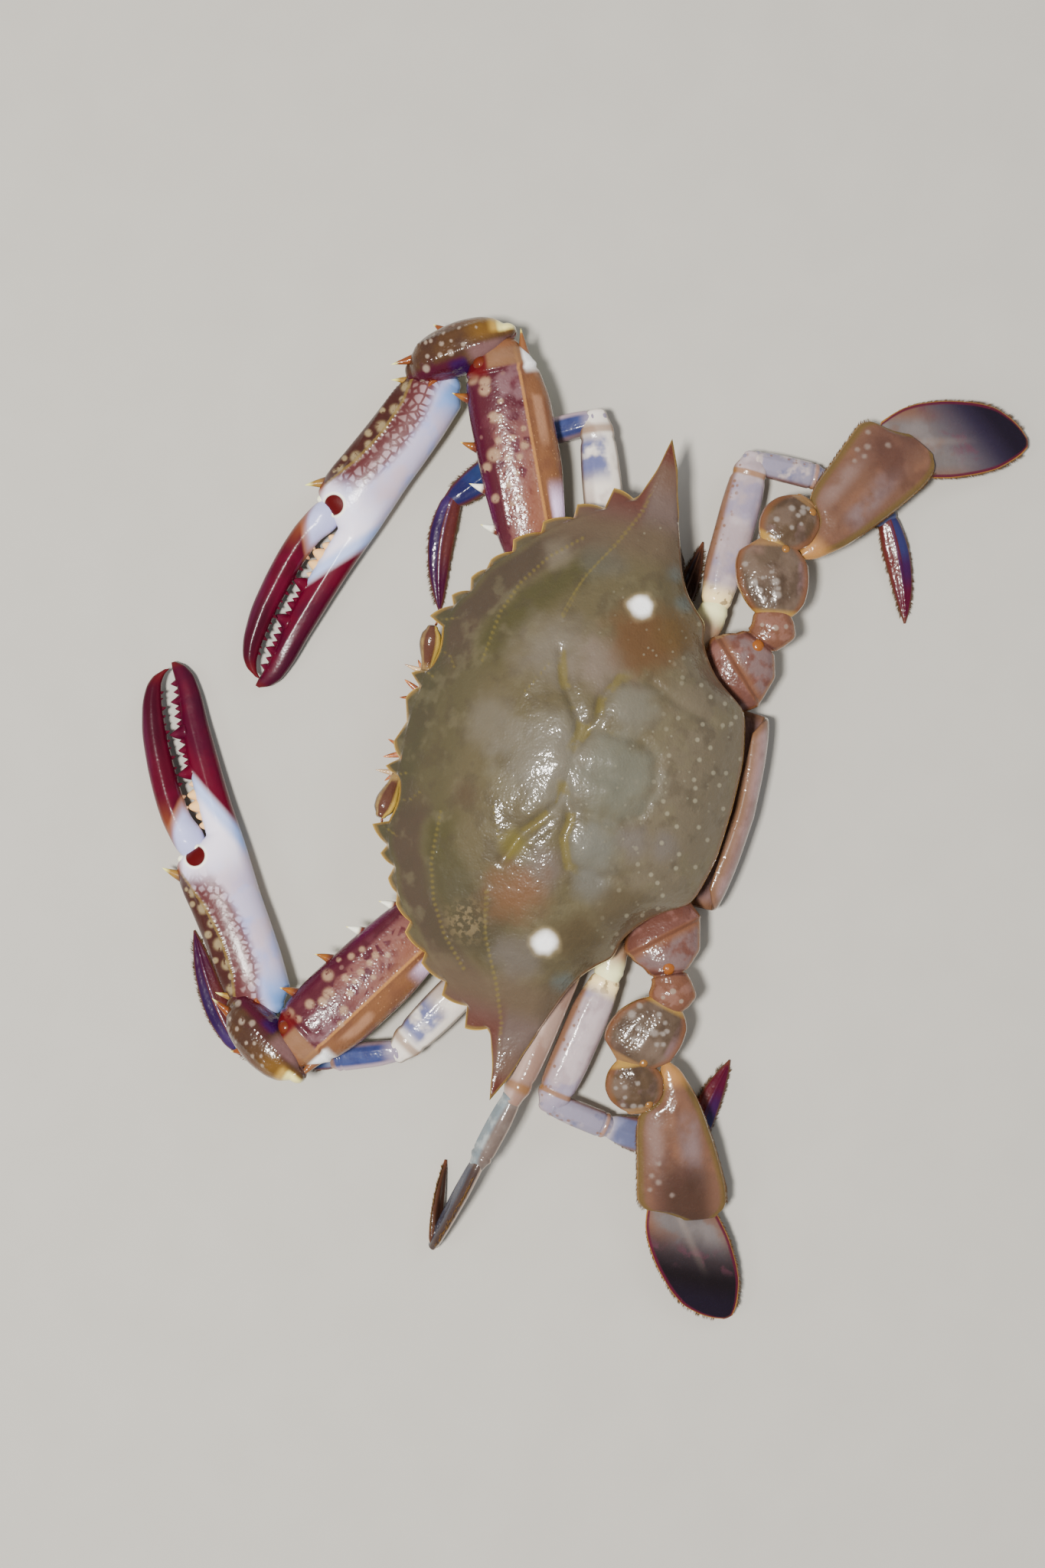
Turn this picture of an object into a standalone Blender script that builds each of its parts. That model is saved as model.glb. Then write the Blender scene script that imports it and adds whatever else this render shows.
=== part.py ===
"""A gazami crab at life size, a still model lying on the floor.

The crab faces -Y with its back up. Its left side is +X. Lengths here are in millimetres and
each solid is written in metres. Limb parts are lofted along their own axes from short tables,
one table for both sides, and the joints of the pose say where each part lies.
"""
import math

import bmesh
import bpy
import numpy as np

MM = 0.001
GAP = 0.3

# Heights of the body above the floor.
RIM_HEIGHT = 18.8
BACK_HEIGHT = 39.5
SHOULDER_DROP = 3.0
MIDDLE_REACH = 28.0
BODY_SPLIT = 17.0
STERNUM_HEIGHT = 3.8
ABDOMEN_ARCH = 1.8

# Half width and half length of the flat breast plate, and the place of its middle.
STERNUM = (28.0, 31.0, 5.0)

# One half of the carapace edge without its teeth, from the middle of the rear to the middle
# of the front, as seen from above.
REAR_EDGE = [(0.0, 40.4), (11.0, 40.0), (20.0, 38.4), (25.6, 36.4), (28.4, 32.8), (31.4, 28.4),
             (35.4, 24.7), (40.4, 21.8), (44.4, 20.9), (47.5, 17.8), (51.0, 14.6), (56.0, 11.8),
             (62.0, 9.5), (68.0, 7.4)]
SPINE_ROOT = [(70.5, 4.0), (70.8, -2.0)]
FRONT_EDGE = [(26.0, -44.2), (20.5, -43.4), (15.0, -44.4)]

# Teeth along the front edge of each half: the notch behind the tooth, then its tip.
EDGE_TEETH = [((70.9, -5.5), (72.2, -11.1)), ((66.6, -12.1), (65.6, -19.1)),
              ((62.1, -19.1), (59.0, -26.4)), ((56.2, -26.2), (52.5, -32.6)),
              ((49.5, -32.0), (46.0, -36.8)), ((43.4, -37.3), (40.2, -40.5)),
              ((36.9, -39.8), (34.5, -44.1)), ((32.0, -43.0), (27.8, -48.1))]
FRONT_TEETH = [((13.9, -45.6), (12.4, -48.8)), ((9.6, -45.8), (5.8, -48.5))]
FRONT_MIDDLE = (0.0, -46.6)

# The long side spine: place outward, middle of its width, half width, half depth, height.
SIDE_SPINE = [(64.0, 2.0, 6.0, 1.6, 18.9), (70.0, 1.0, 6.0, 2.1, 19.2), (75.5, 1.0, 4.2, 2.1, 19.5),
              (80.5, 1.1, 2.7, 1.5, 19.8), (85.5, 0.4, 1.1, 0.8, 20.1), (88.3, 0.0, 0.3, 0.3, 20.3)]

# Joints of each limb in the pose, from the body outward.
CLAW = {"left": [(22.0, -17.5, 9.5), (39.0, -21.1, 11.0), (89.9, -52.2, 14.0)],
        "right": [(-22.0, -17.5, 9.5), (-44.4, -22.4, 11.0), (-99.3, -48.9, 14.0)]}
ELBOW = {"left": [(90.5, -51.2, 14.0), (82.7, -66.5, 10.5)],
         "right": [(-98.9, -49.7, 14.0), (-89.2, -65.5, 10.5)]}
PALM = {"left": [(80.5, -63.0, 7.9), (1.3, -111.5, 1.9)],
        "right": [(-87.5, -61.5, 7.9), (1.3, -88.4, 1.9)]}
FINGER = {"left": [(48.2, -92.8, 5.3), (3.3, -112.0, 4.0)],
          "right": [(-49.6, -82.0, 5.3), (-0.8, -88.2, 4.0)]}
WALKING = {
    ("first", "left"): [(25.0, -9.5, 8.0), (42.9, -2.7, 9.0), (83.6, -25.8, 7.6),
                        (90.7, -41.9, 3.8), (94.1, -67.9, 2.2), (68.3, -87.2, 0.3)],
    ("first", "right"): [(-25.0, -9.5, 8.0), (-44.4, -2.7, 9.0), (-89.7, -20.2, 8.0),
                         (-82.4, -33.7, 4.0), (-60.4, -51.3, 2.4), (-30.5, -46.8, 0.3)],
    ("second", "left"): [(25.0, 4.5, 8.0), (42.8, 12.0, 9.8), (86.2, 5.7, 15.5),
                         (105.0, 1.7, 13.0), (130.3, -3.7, 3.8), (109.4, -6.6, 0.3)],
    ("second", "right"): [(-25.0, 4.5, 8.0), (-38.2, 7.0, 9.5), (-77.5, 0.9, 10.2),
                          (-65.4, 5.6, 4.8), (-43.8, 12.5, 2.6), (-67.0, 15.6, 0.3)],
    ("third", "left"): [(25.0, 18.5, 8.0), (50.7, 21.6, 9.5), (86.4, 16.0, 9.2),
                        (88.6, 32.2, 5.4), (88.9, 55.5, 2.6), (63.7, 59.1, 0.3)],
    ("third", "right"): [(-25.0, 18.5, 8.0), (-51.2, 23.0, 8.0), (-90.2, 22.4, 7.6),
                         (-91.1, 40.2, 4.6), (-85.8, 61.2, 2.6), (-60.6, 73.0, 0.3)]}
SWIMMING = {"left": [(27.0, 32.0, 11.5), (53.7, 38.8, 14.8), (69.1, 35.5, 14.4),
                     (75.5, 42.7, 12.2), (104.5, 54.0, 8.8)],
            "right": [(-27.0, 32.0, 11.5), (-53.0, 38.8, 14.8), (-69.4, 35.5, 14.4),
                      (-76.8, 42.2, 12.2), (-105.9, 55.8, 9.0)]}
PADDLE = {"left": [(101.0, 55.5, 8.0), (126.8, 77.0, 3.2)],
          "right": [(-102.0, 57.0, 8.0), (-112.8, 90.4, 3.2)]}
SWIMMING_CARPUS_END = {"left": (79.0, 40.0, 12.8), "right": (-80.5, 40.0, 12.8)}

# Limb tables. Rows give the share of the length, the two edges across, and the half depth.
# Across is counted toward the rear for a limb that points straight out from the body.
CLAW_BASE = [(0.0, -5.0, 4.6, 4.4), (0.35, -5.6, 5.2, 4.8), (0.75, -5.4, 5.2, 4.9),
             (1.0, -4.6, 4.6, 4.4), (1.12, -3.0, 3.0, 3.0)]
CLAW_MERUS = [(-0.05, -4.0, 4.0, 3.6), (0.04, -6.4, 5.8, 4.9), (0.14, -8.4, 7.6, 5.5),
              (0.32, -10.2, 9.3, 6.3), (0.52, -10.9, 10.5, 6.8), (0.72, -11.1, 10.5, 6.9),
              (0.86, -10.6, 9.4, 6.6), (0.95, -9.0, 7.6, 5.8), (1.01, -6.2, 5.0, 4.2)]
CLAW_CARPUS = [(-0.2, 1.6, 6.4, 3.6), (-0.06, -0.8, 8.8, 5.4), (0.15, -2.4, 10.2, 6.5),
               (0.42, -3.0, 10.7, 6.9), (0.7, -3.2, 10.2, 6.8), (0.95, -3.2, 9.0, 6.0),
               (1.12, -2.8, 6.8, 4.6), (1.22, -1.2, 4.4, 2.6)]
CLAW_PALM = [(-0.015, -4.4, 5.6, 4.0), (0.03, -7.0, 9.2, 5.6), (0.1, -7.0, 10.4, 6.3),
             (0.2, -6.6, 11.4, 6.6), (0.3, -6.0, 12.6, 6.6), (0.39, -5.8, 13.7, 6.3),
             (0.435, -5.7, 13.2, 5.8), (0.46, -5.6, 10.8, 5.2), (0.48, -5.5, 6.4, 4.7),
             (0.5, -5.4, 3.5, 4.3), (0.6, -5.0, 3.5, 3.8), (0.7, -4.9, 3.1, 3.5),
             (0.8, -4.9, 2.3, 3.0), (0.88, -5.1, 1.2, 2.5), (0.94, -4.7, 0.5, 1.9),
             (0.98, -3.1, 0.5, 1.1), (1.0, -0.9, 0.3, 0.4)]
CLAW_FINGER = [(-0.02, -3.2, 2.2, 3.0), (0.03, -4.2, 3.8, 4.0), (0.1, -3.6, 5.2, 4.2),
               (0.2, -1.0, 6.7, 3.9), (0.36, 0.8, 8.0, 3.6), (0.5, 1.7, 8.6, 3.3),
               (0.64, 2.4, 8.8, 3.0), (0.8, 2.6, 8.0, 2.5), (0.91, 2.2, 6.3, 1.9),
               (0.97, 1.0, 4.0, 1.1), (1.0, -0.6, 0.9, 0.4)]
LEG_BASE = [(0.0, -3.6, 3.6, 3.4), (0.45, -4.3, 4.3, 3.9), (0.85, -4.1, 4.1, 3.7),
            (1.05, -2.8, 2.8, 2.6)]
LEG_MERUS = [(-0.05, -2.3, 2.3, 2.0), (0.05, -3.4, 3.4, 3.0), (0.3, -4.2, 4.4, 3.5),
             (0.65, -4.2, 4.6, 3.5), (0.92, -3.7, 4.0, 3.1), (1.03, -2.6, 2.8, 2.2)]
LEG_CARPUS = [(-0.12, -1.8, 1.8, 1.6), (0.06, -2.8, 2.8, 2.4), (0.45, -3.4, 3.5, 2.8),
              (0.85, -3.5, 3.5, 2.6), (1.06, -2.5, 2.5, 1.9)]
LEG_PROPODUS = [(-0.05, -2.1, 2.1, 1.3), (0.07, -3.3, 3.3, 1.9), (0.35, -4.5, 4.4, 2.0),
                (0.72, -4.2, 4.0, 1.8), (0.94, -3.3, 3.1, 1.6), (1.04, -2.3, 2.1, 1.2)]
LEG_DACTYL = [(-0.05, -1.5, 1.5, 1.0), (0.05, -2.4, 2.4, 1.5), (0.3, -3.0, 2.8, 1.4),
              (0.62, -2.4, 2.1, 1.1), (0.87, -1.2, 1.0, 0.7), (1.0, -0.3, 0.3, 0.45)]
WIDE_MERUS = [(-0.05, -2.5, 2.4, 2.0), (0.06, -4.4, 3.7, 3.1), (0.3, -5.6, 4.7, 3.6),
              (0.65, -5.5, 4.9, 3.6), (0.9, -4.8, 4.3, 3.2), (1.03, -3.0, 2.8, 2.2)]
WIDE_DACTYL = [(-0.05, -1.7, 1.9, 1.0), (0.05, -2.6, 3.2, 1.5), (0.3, -3.1, 3.9, 1.4),
               (0.62, -2.6, 3.0, 1.1), (0.87, -1.4, 1.4, 0.7), (1.0, -0.3, 0.3, 0.45)]
SWIM_BASE = [(0.0, -9.0, 5.0, 3.6), (0.2, -11.4, 7.8, 4.4), (0.42, -11.6, 7.8, 4.5),
             (0.55, -9.8, 6.0, 4.1), (0.65, -6.4, 4.6, 3.5), (0.76, -4.7, 5.9, 3.5),
             (0.88, -5.1, 6.5, 3.4), (0.97, -4.8, 5.2, 2.8), (1.03, -3.4, 3.2, 2.2)]
SWIM_MERUS = [(-0.08, -5.0, 3.0, 1.9), (0.03, -7.4, 5.0, 2.8), (0.2, -9.6, 6.6, 3.2),
              (0.45, -11.6, 7.2, 3.3), (0.72, -12.2, 6.8, 3.2), (0.9, -11.6, 5.0, 2.9),
              (1.05, -8.4, 2.4, 2.4), (1.14, -6.0, -1.0, 1.6)]
SWIM_CARPUS = [(-0.14, -6.2, -0.4, 1.7), (0.02, -8.2, 2.2, 2.6), (0.22, -9.6, 4.0, 3.1),
               (0.48, -10.3, 5.0, 3.3), (0.75, -9.6, 4.6, 3.1), (0.97, -7.7, 3.0, 2.5),
               (1.12, -5.6, 0.4, 1.5)]
SWIM_PROPODUS = [(-0.25, 1.0, 3.2, 1.0), (-0.18, 0.3, 5.4, 1.9), (-0.06, -0.3, 7.4, 2.6),
                 (0.06, -1.6, 9.1, 3.0), (0.17, -6.2, 10.2, 3.2), (0.32, -7.4, 11.4, 3.2),
                 (0.52, -7.9, 12.8, 3.0), (0.72, -8.5, 13.9, 2.7), (0.88, -8.8, 14.5, 2.4),
                 (0.97, -7.4, 14.3, 2.1), (1.03, -1.6, 13.6, 1.8), (1.09, 2.2, 11.4, 1.1)]
SWIM_PADDLE = [(-0.07, -8.4, -2.0, 1.0), (0.02, -10.4, 3.0, 1.5), (0.12, -12.0, 5.4, 1.7),
               (0.25, -13.0, 6.8, 1.7), (0.42, -13.4, 7.0, 1.6), (0.6, -13.0, 6.4, 1.4),
               (0.77, -11.7, 5.2, 1.2), (0.9, -9.0, 3.2, 1.0), (0.99, -5.8, 1.2, 0.7),
               (1.04, -3.0, -0.6, 0.4)]

# How far the middle of each walking leg's last part bends sideways.
DACTYL_BOW = {("first", "left"): 1.3, ("first", "right"): 1.6, ("second", "left"): 0.6,
              ("second", "right"): 1.0, ("third", "left"): 0.5, ("third", "right"): -1.2}

# Spines of the cheliped: share of the length, edge, how deep the root sits, how far the tip leans
# along the part, stands out across it and rises, and the radius of the root.
MERUS_SPINES = [(share, "low", 2.6, 2.4, -6.2, 0.0, 2.3) for share in (0.25, 0.43, 0.61, 0.82)]
MERUS_END_SPINE = (0.93, "high", 3.0, 9.4, 0.8, 1.2, 2.4)
CARPUS_SPINES = [(0.6, "high", 2.6, 3.4, 4.0, 0.0, 2.2), (1.02, "high", 4.0, 8.6, 0.4, 3.0, 2.2)]
CARPUS_INNER_SPINE = (0.9, "low", 2.4, 4.8, -4.2, 3.4, 1.9)
PALM_SPINES = [(0.395, "high", 3.4, 4.6, 6.4, 1.6, 2.4), (0.03, "high", 4.0, 3.4, 6.6, 3.0, 2.1)]

# Biting teeth: share of the length, height; the first ones are blunt and the last ones sharp.
PALM_TEETH = [(0.53, 0.9), (0.585, 2.0), (0.63, 1.4), (0.69, 3.0), (0.75, 1.5), (0.8, 3.0),
              (0.845, 1.4), (0.89, 1.7), (0.93, 1.0)]
TOOTH_ROOT = 1.2
TOOTH_LEAN = 0.2
FINGER_TEETH = [(0.3, 0.7), (0.37, 1.0), (0.44, 0.7), (0.51, 1.1), (0.58, 0.8), (0.65, 1.1),
                (0.72, 0.8), (0.79, 1.1), (0.87, 0.8)]

# The face of the left side: ends of the eye, the antenna and the outer mouthpart, and their
# tables. The eye spine stands under each eye socket.
EYE = [(9.0, -44.6, 13.9), (24.6, -46.6, 17.4)]
EYE_TABLE = [(-0.05, -1.1, 1.1, 1.1), (0.1, -1.6, 1.6, 1.6), (0.45, -1.7, 1.7, 1.7),
             (0.62, -2.4, 2.4, 2.3), (0.78, -2.9, 2.9, 2.8), (0.92, -2.6, 2.6, 2.5),
             (1.02, -1.5, 1.5, 1.5)]
ANTENNA = [(10.4, -42.0, 11.8), (31.0, -45.2, 11.4)]
ANTENNA_TABLE = [(-0.02, -1.4, 1.4, 1.3), (0.08, -1.7, 1.7, 1.5), (0.2, -1.5, 1.3, 1.2),
                 (0.3, -1.1, 0.7, 0.9), (0.4, -0.6, 0.2, 0.45), (0.7, -0.5, 0.2, 0.4),
                 (1.0, -0.35, 0.25, 0.3)]
ANTENNA_BOW = -2.6
MOUTHPART = [(5.3, -42.6, 12.4), (4.9, -26.4, 3.2)]
MOUTHPART_TABLE = [(-0.04, -2.6, 2.6, 0.8), (0.05, -4.4, 4.2, 1.3), (0.26, -5.2, 4.7, 1.6),
                   (0.42, -4.9, 4.6, 1.5), (0.75, -4.6, 4.4, 1.5), (0.95, -3.6, 3.4, 1.3),
                   (1.03, -2.2, 2.0, 0.8)]
EYE_SPINE = [(13.0, -40.0, 12.6), (14.2, -51.4, 14.4)]
EYE_SPINE_RADIUS = 1.9

# The abdomen folded under the body: place along the body, height, half width, half depth.
ABDOMEN = [(40.6, 14.6, 21.0, 0.8), (42.2, 13.6, 24.0, 1.5), (43.4, 11.0, 25.6, 1.7),
           (43.6, 8.0, 26.2, 1.7), (42.3, 4.8, 26.6, 1.7), (39.4, 2.6, 26.8, 1.7),
           (35.0, 1.75, 27.2, 1.75), (26.0, 1.65, 27.6, 1.75), (15.0, 1.65, 26.8, 1.75),
           (4.0, 1.65, 23.4, 1.75), (-5.0, 1.65, 17.0, 1.75), (-12.0, 1.65, 9.0, 1.7),
           (-16.5, 1.6, 4.6, 1.6), (-18.6, 1.5, 1.6, 1.1)]

COLOURS = {
    "carapace_shell": ((0.17, 0.145, 0.085), 0.32),
    "underside_shell": ((0.62, 0.56, 0.50), 0.5),
    "abdomen_shell": ((0.60, 0.53, 0.56), 0.45),
    "eye_stalk": ((0.30, 0.13, 0.05), 0.3),
    "antenna_shell": ((0.42, 0.22, 0.12), 0.45),
    "mouthpart_shell": ((0.50, 0.38, 0.34), 0.5),
    "claw_base_shell": ((0.60, 0.50, 0.46), 0.45),
    "claw_merus_shell": ((0.28, 0.08, 0.12), 0.35),
    "claw_carpus_shell": ((0.15, 0.12, 0.07), 0.35),
    "claw_palm_shell": ((0.48, 0.40, 0.44), 0.35),
    "claw_finger_shell": ((0.24, 0.03, 0.05), 0.3),
    "leg_base_shell": ((0.58, 0.48, 0.42), 0.45),
    "leg_merus_shell": ((0.50, 0.42, 0.44), 0.4),
    "leg_carpus_shell": ((0.16, 0.22, 0.36), 0.4),
    "leg_propodus_shell": ((0.15, 0.22, 0.38), 0.4),
    "leg_dactyl_shell": ((0.20, 0.06, 0.16), 0.4),
    "swimming_base_shell": ((0.35, 0.18, 0.10), 0.4),
    "swimming_merus_shell": ((0.20, 0.15, 0.08), 0.35),
    "swimming_carpus_shell": ((0.20, 0.15, 0.08), 0.35),
    "swimming_propodus_shell": ((0.30, 0.17, 0.08), 0.35),
    "swimming_paddle_shell": ((0.16, 0.13, 0.22), 0.3)}

SIDES = {"left": 1.0, "right": -1.0}


def clear_scene():
    """Take away every object of the opening scene."""
    for old in list(bpy.data.objects):
        bpy.data.objects.remove(old, do_unlink=True)


def shell_material(slot):
    """One Principled material for the shell of a part."""
    colour, roughness = COLOURS[slot]
    material = bpy.data.materials.get(slot)
    if material is None:
        material = bpy.data.materials.new(slot)
        material.use_nodes = True
        shader = material.node_tree.nodes["Principled BSDF"]
        shader.inputs["Base Color"].default_value = (*colour, 1.0)
        shader.inputs["Roughness"].default_value = roughness
        shader.inputs["Metallic"].default_value = 0.0
    return material


def loft(rings):
    """Points and faces of a closed solid through rings with the same number of points."""
    rings = np.asarray(rings, dtype=float)
    layers, count = rings.shape[:2]
    faces = []
    for k in range(layers - 1):
        for i in range(count):
            j = (i + 1) % count
            faces.append((k * count + i, k * count + j, (k + 1) * count + j, (k + 1) * count + i))
    faces.append(tuple(range(count - 1, -1, -1)))
    faces.append(tuple(range((layers - 1) * count, layers * count)))
    return rings.reshape(-1, 3), faces


def limb_frame(start, end, side, roll=0.0):
    """Length and the directions along, across and up of a limb part."""
    start = np.array(start, dtype=float)
    along = np.array(end, dtype=float) - start
    length = float(np.linalg.norm(along))
    along /= length
    level = math.hypot(along[0], along[1])
    across = np.array([-along[1], along[0], 0.0]) * side / level
    up = np.cross(along, across) * side
    turn = math.radians(roll)
    across, up = (across * math.cos(turn) + up * math.sin(turn),
                  up * math.cos(turn) - across * math.sin(turn))
    return length, along, across, up


def limb(start, end, table, side, count=8, roll=0.0, bow=0.0, keel=0.0):
    """Loft of one limb part through the rows of its table."""
    length, along, across, up = limb_frame(start, end, side, roll)
    angles = 2.0 * math.pi * np.arange(count) / count
    ridge = 1.0 + keel * np.cos(2.0 * angles) ** 2
    rings = []
    for share, low, high, depth in table:
        bend = 4.0 * bow * share * (1.0 - share)
        sideways = (low + high) / 2.0 + bend + (high - low) / 2.0 * np.cos(angles)
        upward = depth * ridge * np.sin(angles)
        place = np.array(start) + along * length * share
        rings.append(place + np.outer(sideways, across) + np.outer(upward, up))
    return loft(rings)


def spike(root, tip, radius, sides=5):
    """A cone with a swollen foot, its root sunk into the part that bears it."""
    root = np.array(root, dtype=float)
    tip = np.array(tip, dtype=float)
    along = tip - root
    along /= np.linalg.norm(along)
    helper = np.array([0.0, 0.0, 1.0]) if abs(along[2]) < 0.9 else np.array([1.0, 0.0, 0.0])
    across = np.cross(helper, along)
    across /= np.linalg.norm(across)
    up = np.cross(along, across)
    angles = 2.0 * math.pi * (np.arange(sides) + 0.25) / sides
    ring = np.outer(np.cos(angles), across) + np.outer(np.sin(angles), up)
    middle = root + (tip - root) * 0.62
    return loft([root + ring * radius, middle + ring * radius * 0.55, tip + ring * 0.16])


def settle(points):
    """Lay the lowest points flat on the floor."""
    points = points.copy()
    points[:, 2] = np.maximum(points[:, 2], 0.0)
    return points


def grown(points, faces, by):
    """The same solid with its surface moved outward."""
    work = bmesh.new()
    vertices = [work.verts.new(point) for point in points]
    for face in faces:
        work.faces.new([vertices[i] for i in face])
    bmesh.ops.recalc_face_normals(work, faces=work.faces)
    work.normal_update()
    moved = np.array([tuple(v.co + v.normal * by) for v in work.verts])
    work.free()
    return moved, faces


def plain_object(name, points, faces):
    """A mesh object in metres with its faces turned outward."""
    mesh = bpy.data.meshes.new(name)
    mesh.from_pydata([tuple(point * MM) for point in points], [], faces)
    work = bmesh.new()
    work.from_mesh(mesh)
    bmesh.ops.recalc_face_normals(work, faces=work.faces)
    work.to_mesh(mesh)
    work.free()
    result = bpy.data.objects.new(name, mesh)
    bpy.context.scene.collection.objects.link(result)
    return result


def join_solids(target, others, operation):
    """Add or take away other solids in one Boolean, then remove them."""
    if not others:
        return
    group = bpy.data.collections.new(target.name + " tools")
    bpy.context.scene.collection.children.link(group)
    for other in others:
        bpy.context.scene.collection.objects.unlink(other)
        group.objects.link(other)
    cut = target.modifiers.new("solids", "BOOLEAN")
    cut.operand_type = "COLLECTION"
    cut.collection = group
    cut.operation = operation
    cut.solver = "EXACT" if operation == "UNION" else "MANIFOLD"
    cut.use_self = operation == "UNION"
    depsgraph = bpy.context.evaluated_depsgraph_get()
    result = bpy.data.meshes.new_from_object(target.evaluated_get(depsgraph))
    target.modifiers.clear()
    target.data = result
    for other in others:
        bpy.data.objects.remove(other, do_unlink=True)
    bpy.data.collections.remove(group)


def keep_largest(target):
    """Keep only the largest closed surface of a mesh, in triangles."""
    work = bmesh.new()
    work.from_mesh(target.data)
    bmesh.ops.remove_doubles(work, verts=work.verts, dist=0.000002)
    bmesh.ops.dissolve_degenerate(work, edges=work.edges, dist=0.000001)
    bmesh.ops.triangulate(work, faces=work.faces)
    islands = []
    unseen = set(work.verts)
    while unseen:
        stack = [unseen.pop()]
        island = set(stack)
        while stack:
            for edge in stack.pop().link_edges:
                for vertex in edge.verts:
                    if vertex in unseen:
                        unseen.discard(vertex)
                        island.add(vertex)
                        stack.append(vertex)
        islands.append(island)
    islands.sort(key=len)
    for island in islands[:-1]:
        bmesh.ops.delete(work, geom=list(island), context="VERTS")
    bmesh.ops.recalc_face_normals(work, faces=work.faces)
    work.to_mesh(target.data)
    work.free()


def build_part(name, slot, body, spikes=(), around=()):
    """One sub-part: its body with spines fused on, cleared from the parts around it."""
    points, faces = body
    target = plain_object(name, points, faces)
    fused = [plain_object(name + " spine", *one) for one in spikes]
    join_solids(target, fused, "UNION")
    cutters = [plain_object(name + " gap", *grown(*BODIES[near], GAP * 1.1)) for near in around]
    join_solids(target, cutters, "DIFFERENCE")
    keep_largest(target)
    place = np.array([vertex.co[:] for vertex in target.data.vertices]).mean(axis=0)
    for vertex in target.data.vertices:
        vertex.co = [vertex.co[axis] - place[axis] for axis in range(3)]
    target.location = place
    target.data.materials.clear()
    target.data.materials.append(shell_material(slot))
    for polygon in target.data.polygons:
        polygon.use_smooth = True
    return target


BODIES = {}


def half_edge():
    """The plain and the toothed edge of the left half, rear to front, point by point."""
    plain = list(REAR_EDGE) + list(SPINE_ROOT)
    toothed = list(plain)
    notches = [notch for notch, _ in EDGE_TEETH] + [FRONT_EDGE[0]]
    for k, (notch, tip) in enumerate(EDGE_TEETH):
        after = notches[k + 1]
        back = ((notch[0] * 0.5 + tip[0] * 0.5) + 0.5, (notch[1] * 0.5 + tip[1] * 0.5) - 0.2)
        plain += [notch, (notch[0] * 0.6 + after[0] * 0.4, notch[1] * 0.6 + after[1] * 0.4),
                  (notch[0] * 0.15 + after[0] * 0.85, notch[1] * 0.15 + after[1] * 0.85)]
        toothed += [notch, back, tip]
    plain += list(FRONT_EDGE)
    toothed += list(FRONT_EDGE)
    for notch, tip in FRONT_TEETH:
        plain += [notch, (tip[0], notch[1] - 0.2)]
        toothed += [notch, tip]
    plain.append((0.0, -46.0))
    toothed.append(FRONT_MIDDLE)
    return np.array(plain), np.array(toothed)


def whole_edge(half):
    """Both halves of an edge as one closed loop."""
    mirrored = half[1:-1][::-1] * np.array([-1.0, 1.0])
    return np.vstack([half, mirrored])


def inward(edge, share, level=-3.0):
    """Points of an edge drawn toward the middle line of the back, which closes to a point."""
    reach = MIDDLE_REACH * min(1.0, share / 0.7)
    middle = np.stack([np.clip(edge[:, 0] / MIDDLE_REACH, -1.0, 1.0) * reach,
                       np.full(len(edge), level)], axis=1)
    return middle + (edge - middle) * share


def back_height(share, level):
    """Height of the back a share of the way out to the edge; it falls steeply at the rear."""
    rear = np.clip((level - 2.0) / 24.0, 0.0, 1.0)
    rise = (1.0 - share ** (2.0 + 0.5 * rear)) ** (0.95 - 0.2 * rear)
    return RIM_HEIGHT + 1.2 + (BACK_HEIGHT - RIM_HEIGHT - 1.2) * rise


def evened(edge, times):
    """An edge with its small corners evened out along the loop."""
    for _ in range(times):
        edge = edge * 0.5 + np.roll(edge, 1, axis=0) * 0.25 + np.roll(edge, -1, axis=0) * 0.25
    return edge


def carapace_body():
    """The shield: a low dome over a thin toothed edge and a flat underface."""
    plain, toothed = (whole_edge(half) for half in half_edge())
    rings = []
    levels = [(0.3, BODY_SPLIT), (0.93, BODY_SPLIT)]
    for share, height in levels:
        ring = inward(plain, share)
        rings.append(np.column_stack([ring, np.full(len(ring), height)]))
    rings.append(np.column_stack([toothed, np.full(len(toothed), RIM_HEIGHT)]))
    for k, share in enumerate((0.972, 0.9, 0.79, 0.65, 0.48, 0.29, 0.1)):
        ring = inward(evened(plain, 3 * k), share)
        shoulder = SHOULDER_DROP * (1.0 - share) * (ring[:, 0] / MIDDLE_REACH) ** 2
        rings.append(np.column_stack([ring, back_height(share, ring[:, 1]) - shoulder]))
    return loft(rings)


def side_spine(side):
    """The ninth and longest tooth of one side."""
    angles = 2.0 * math.pi * np.arange(10) / 10.0
    rings = []
    for out, middle, half, depth, height in SIDE_SPINE:
        rings.append(np.column_stack([np.full(10, out * side), middle + half * np.cos(angles),
                                      height + depth * np.sin(angles)]))
    return loft(rings)


def thorax_body():
    """The underside of the body, from just under the shield down to the breast plate."""
    half = np.array(REAR_EDGE[::2] + SPINE_ROOT[1:] + [notch for notch, _ in EDGE_TEETH[1:]]
                    + [FRONT_EDGE[1], (9.6, -45.8), (0.0, -46.0)])
    edge = whole_edge(half)
    top = inward(edge, 0.9)
    turn = np.arctan2((top[:, 1] - 3.0) / 42.0, top[:, 0] / 62.0)
    wide, long, middle = STERNUM
    bottom = np.column_stack([wide * np.cos(turn), middle + long * np.sin(turn)])
    front = np.clip((-top[:, 1] - 30.0) / 10.0, 0.0, 1.0)
    front = front * np.clip((26.0 - abs(top[:, 0])) / 10.0, 0.0, 1.0)
    rings = []
    steps = [(BODY_SPLIT - GAP, 0.0, 0.0), (14.4, 0.34, 0.1), (12.0, 0.6, 0.26), (9.0, 0.82, 0.5),
             (6.2, 0.94, 0.78), (STERNUM_HEIGHT, 1.0, 1.0)]
    for height, flank, face in steps:
        share = (flank + (face - flank) * front)[:, None]
        ring = top + (bottom - top) * share
        rings.append(np.column_stack([ring, np.full(len(ring), height)]))
    return loft(rings)


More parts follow.
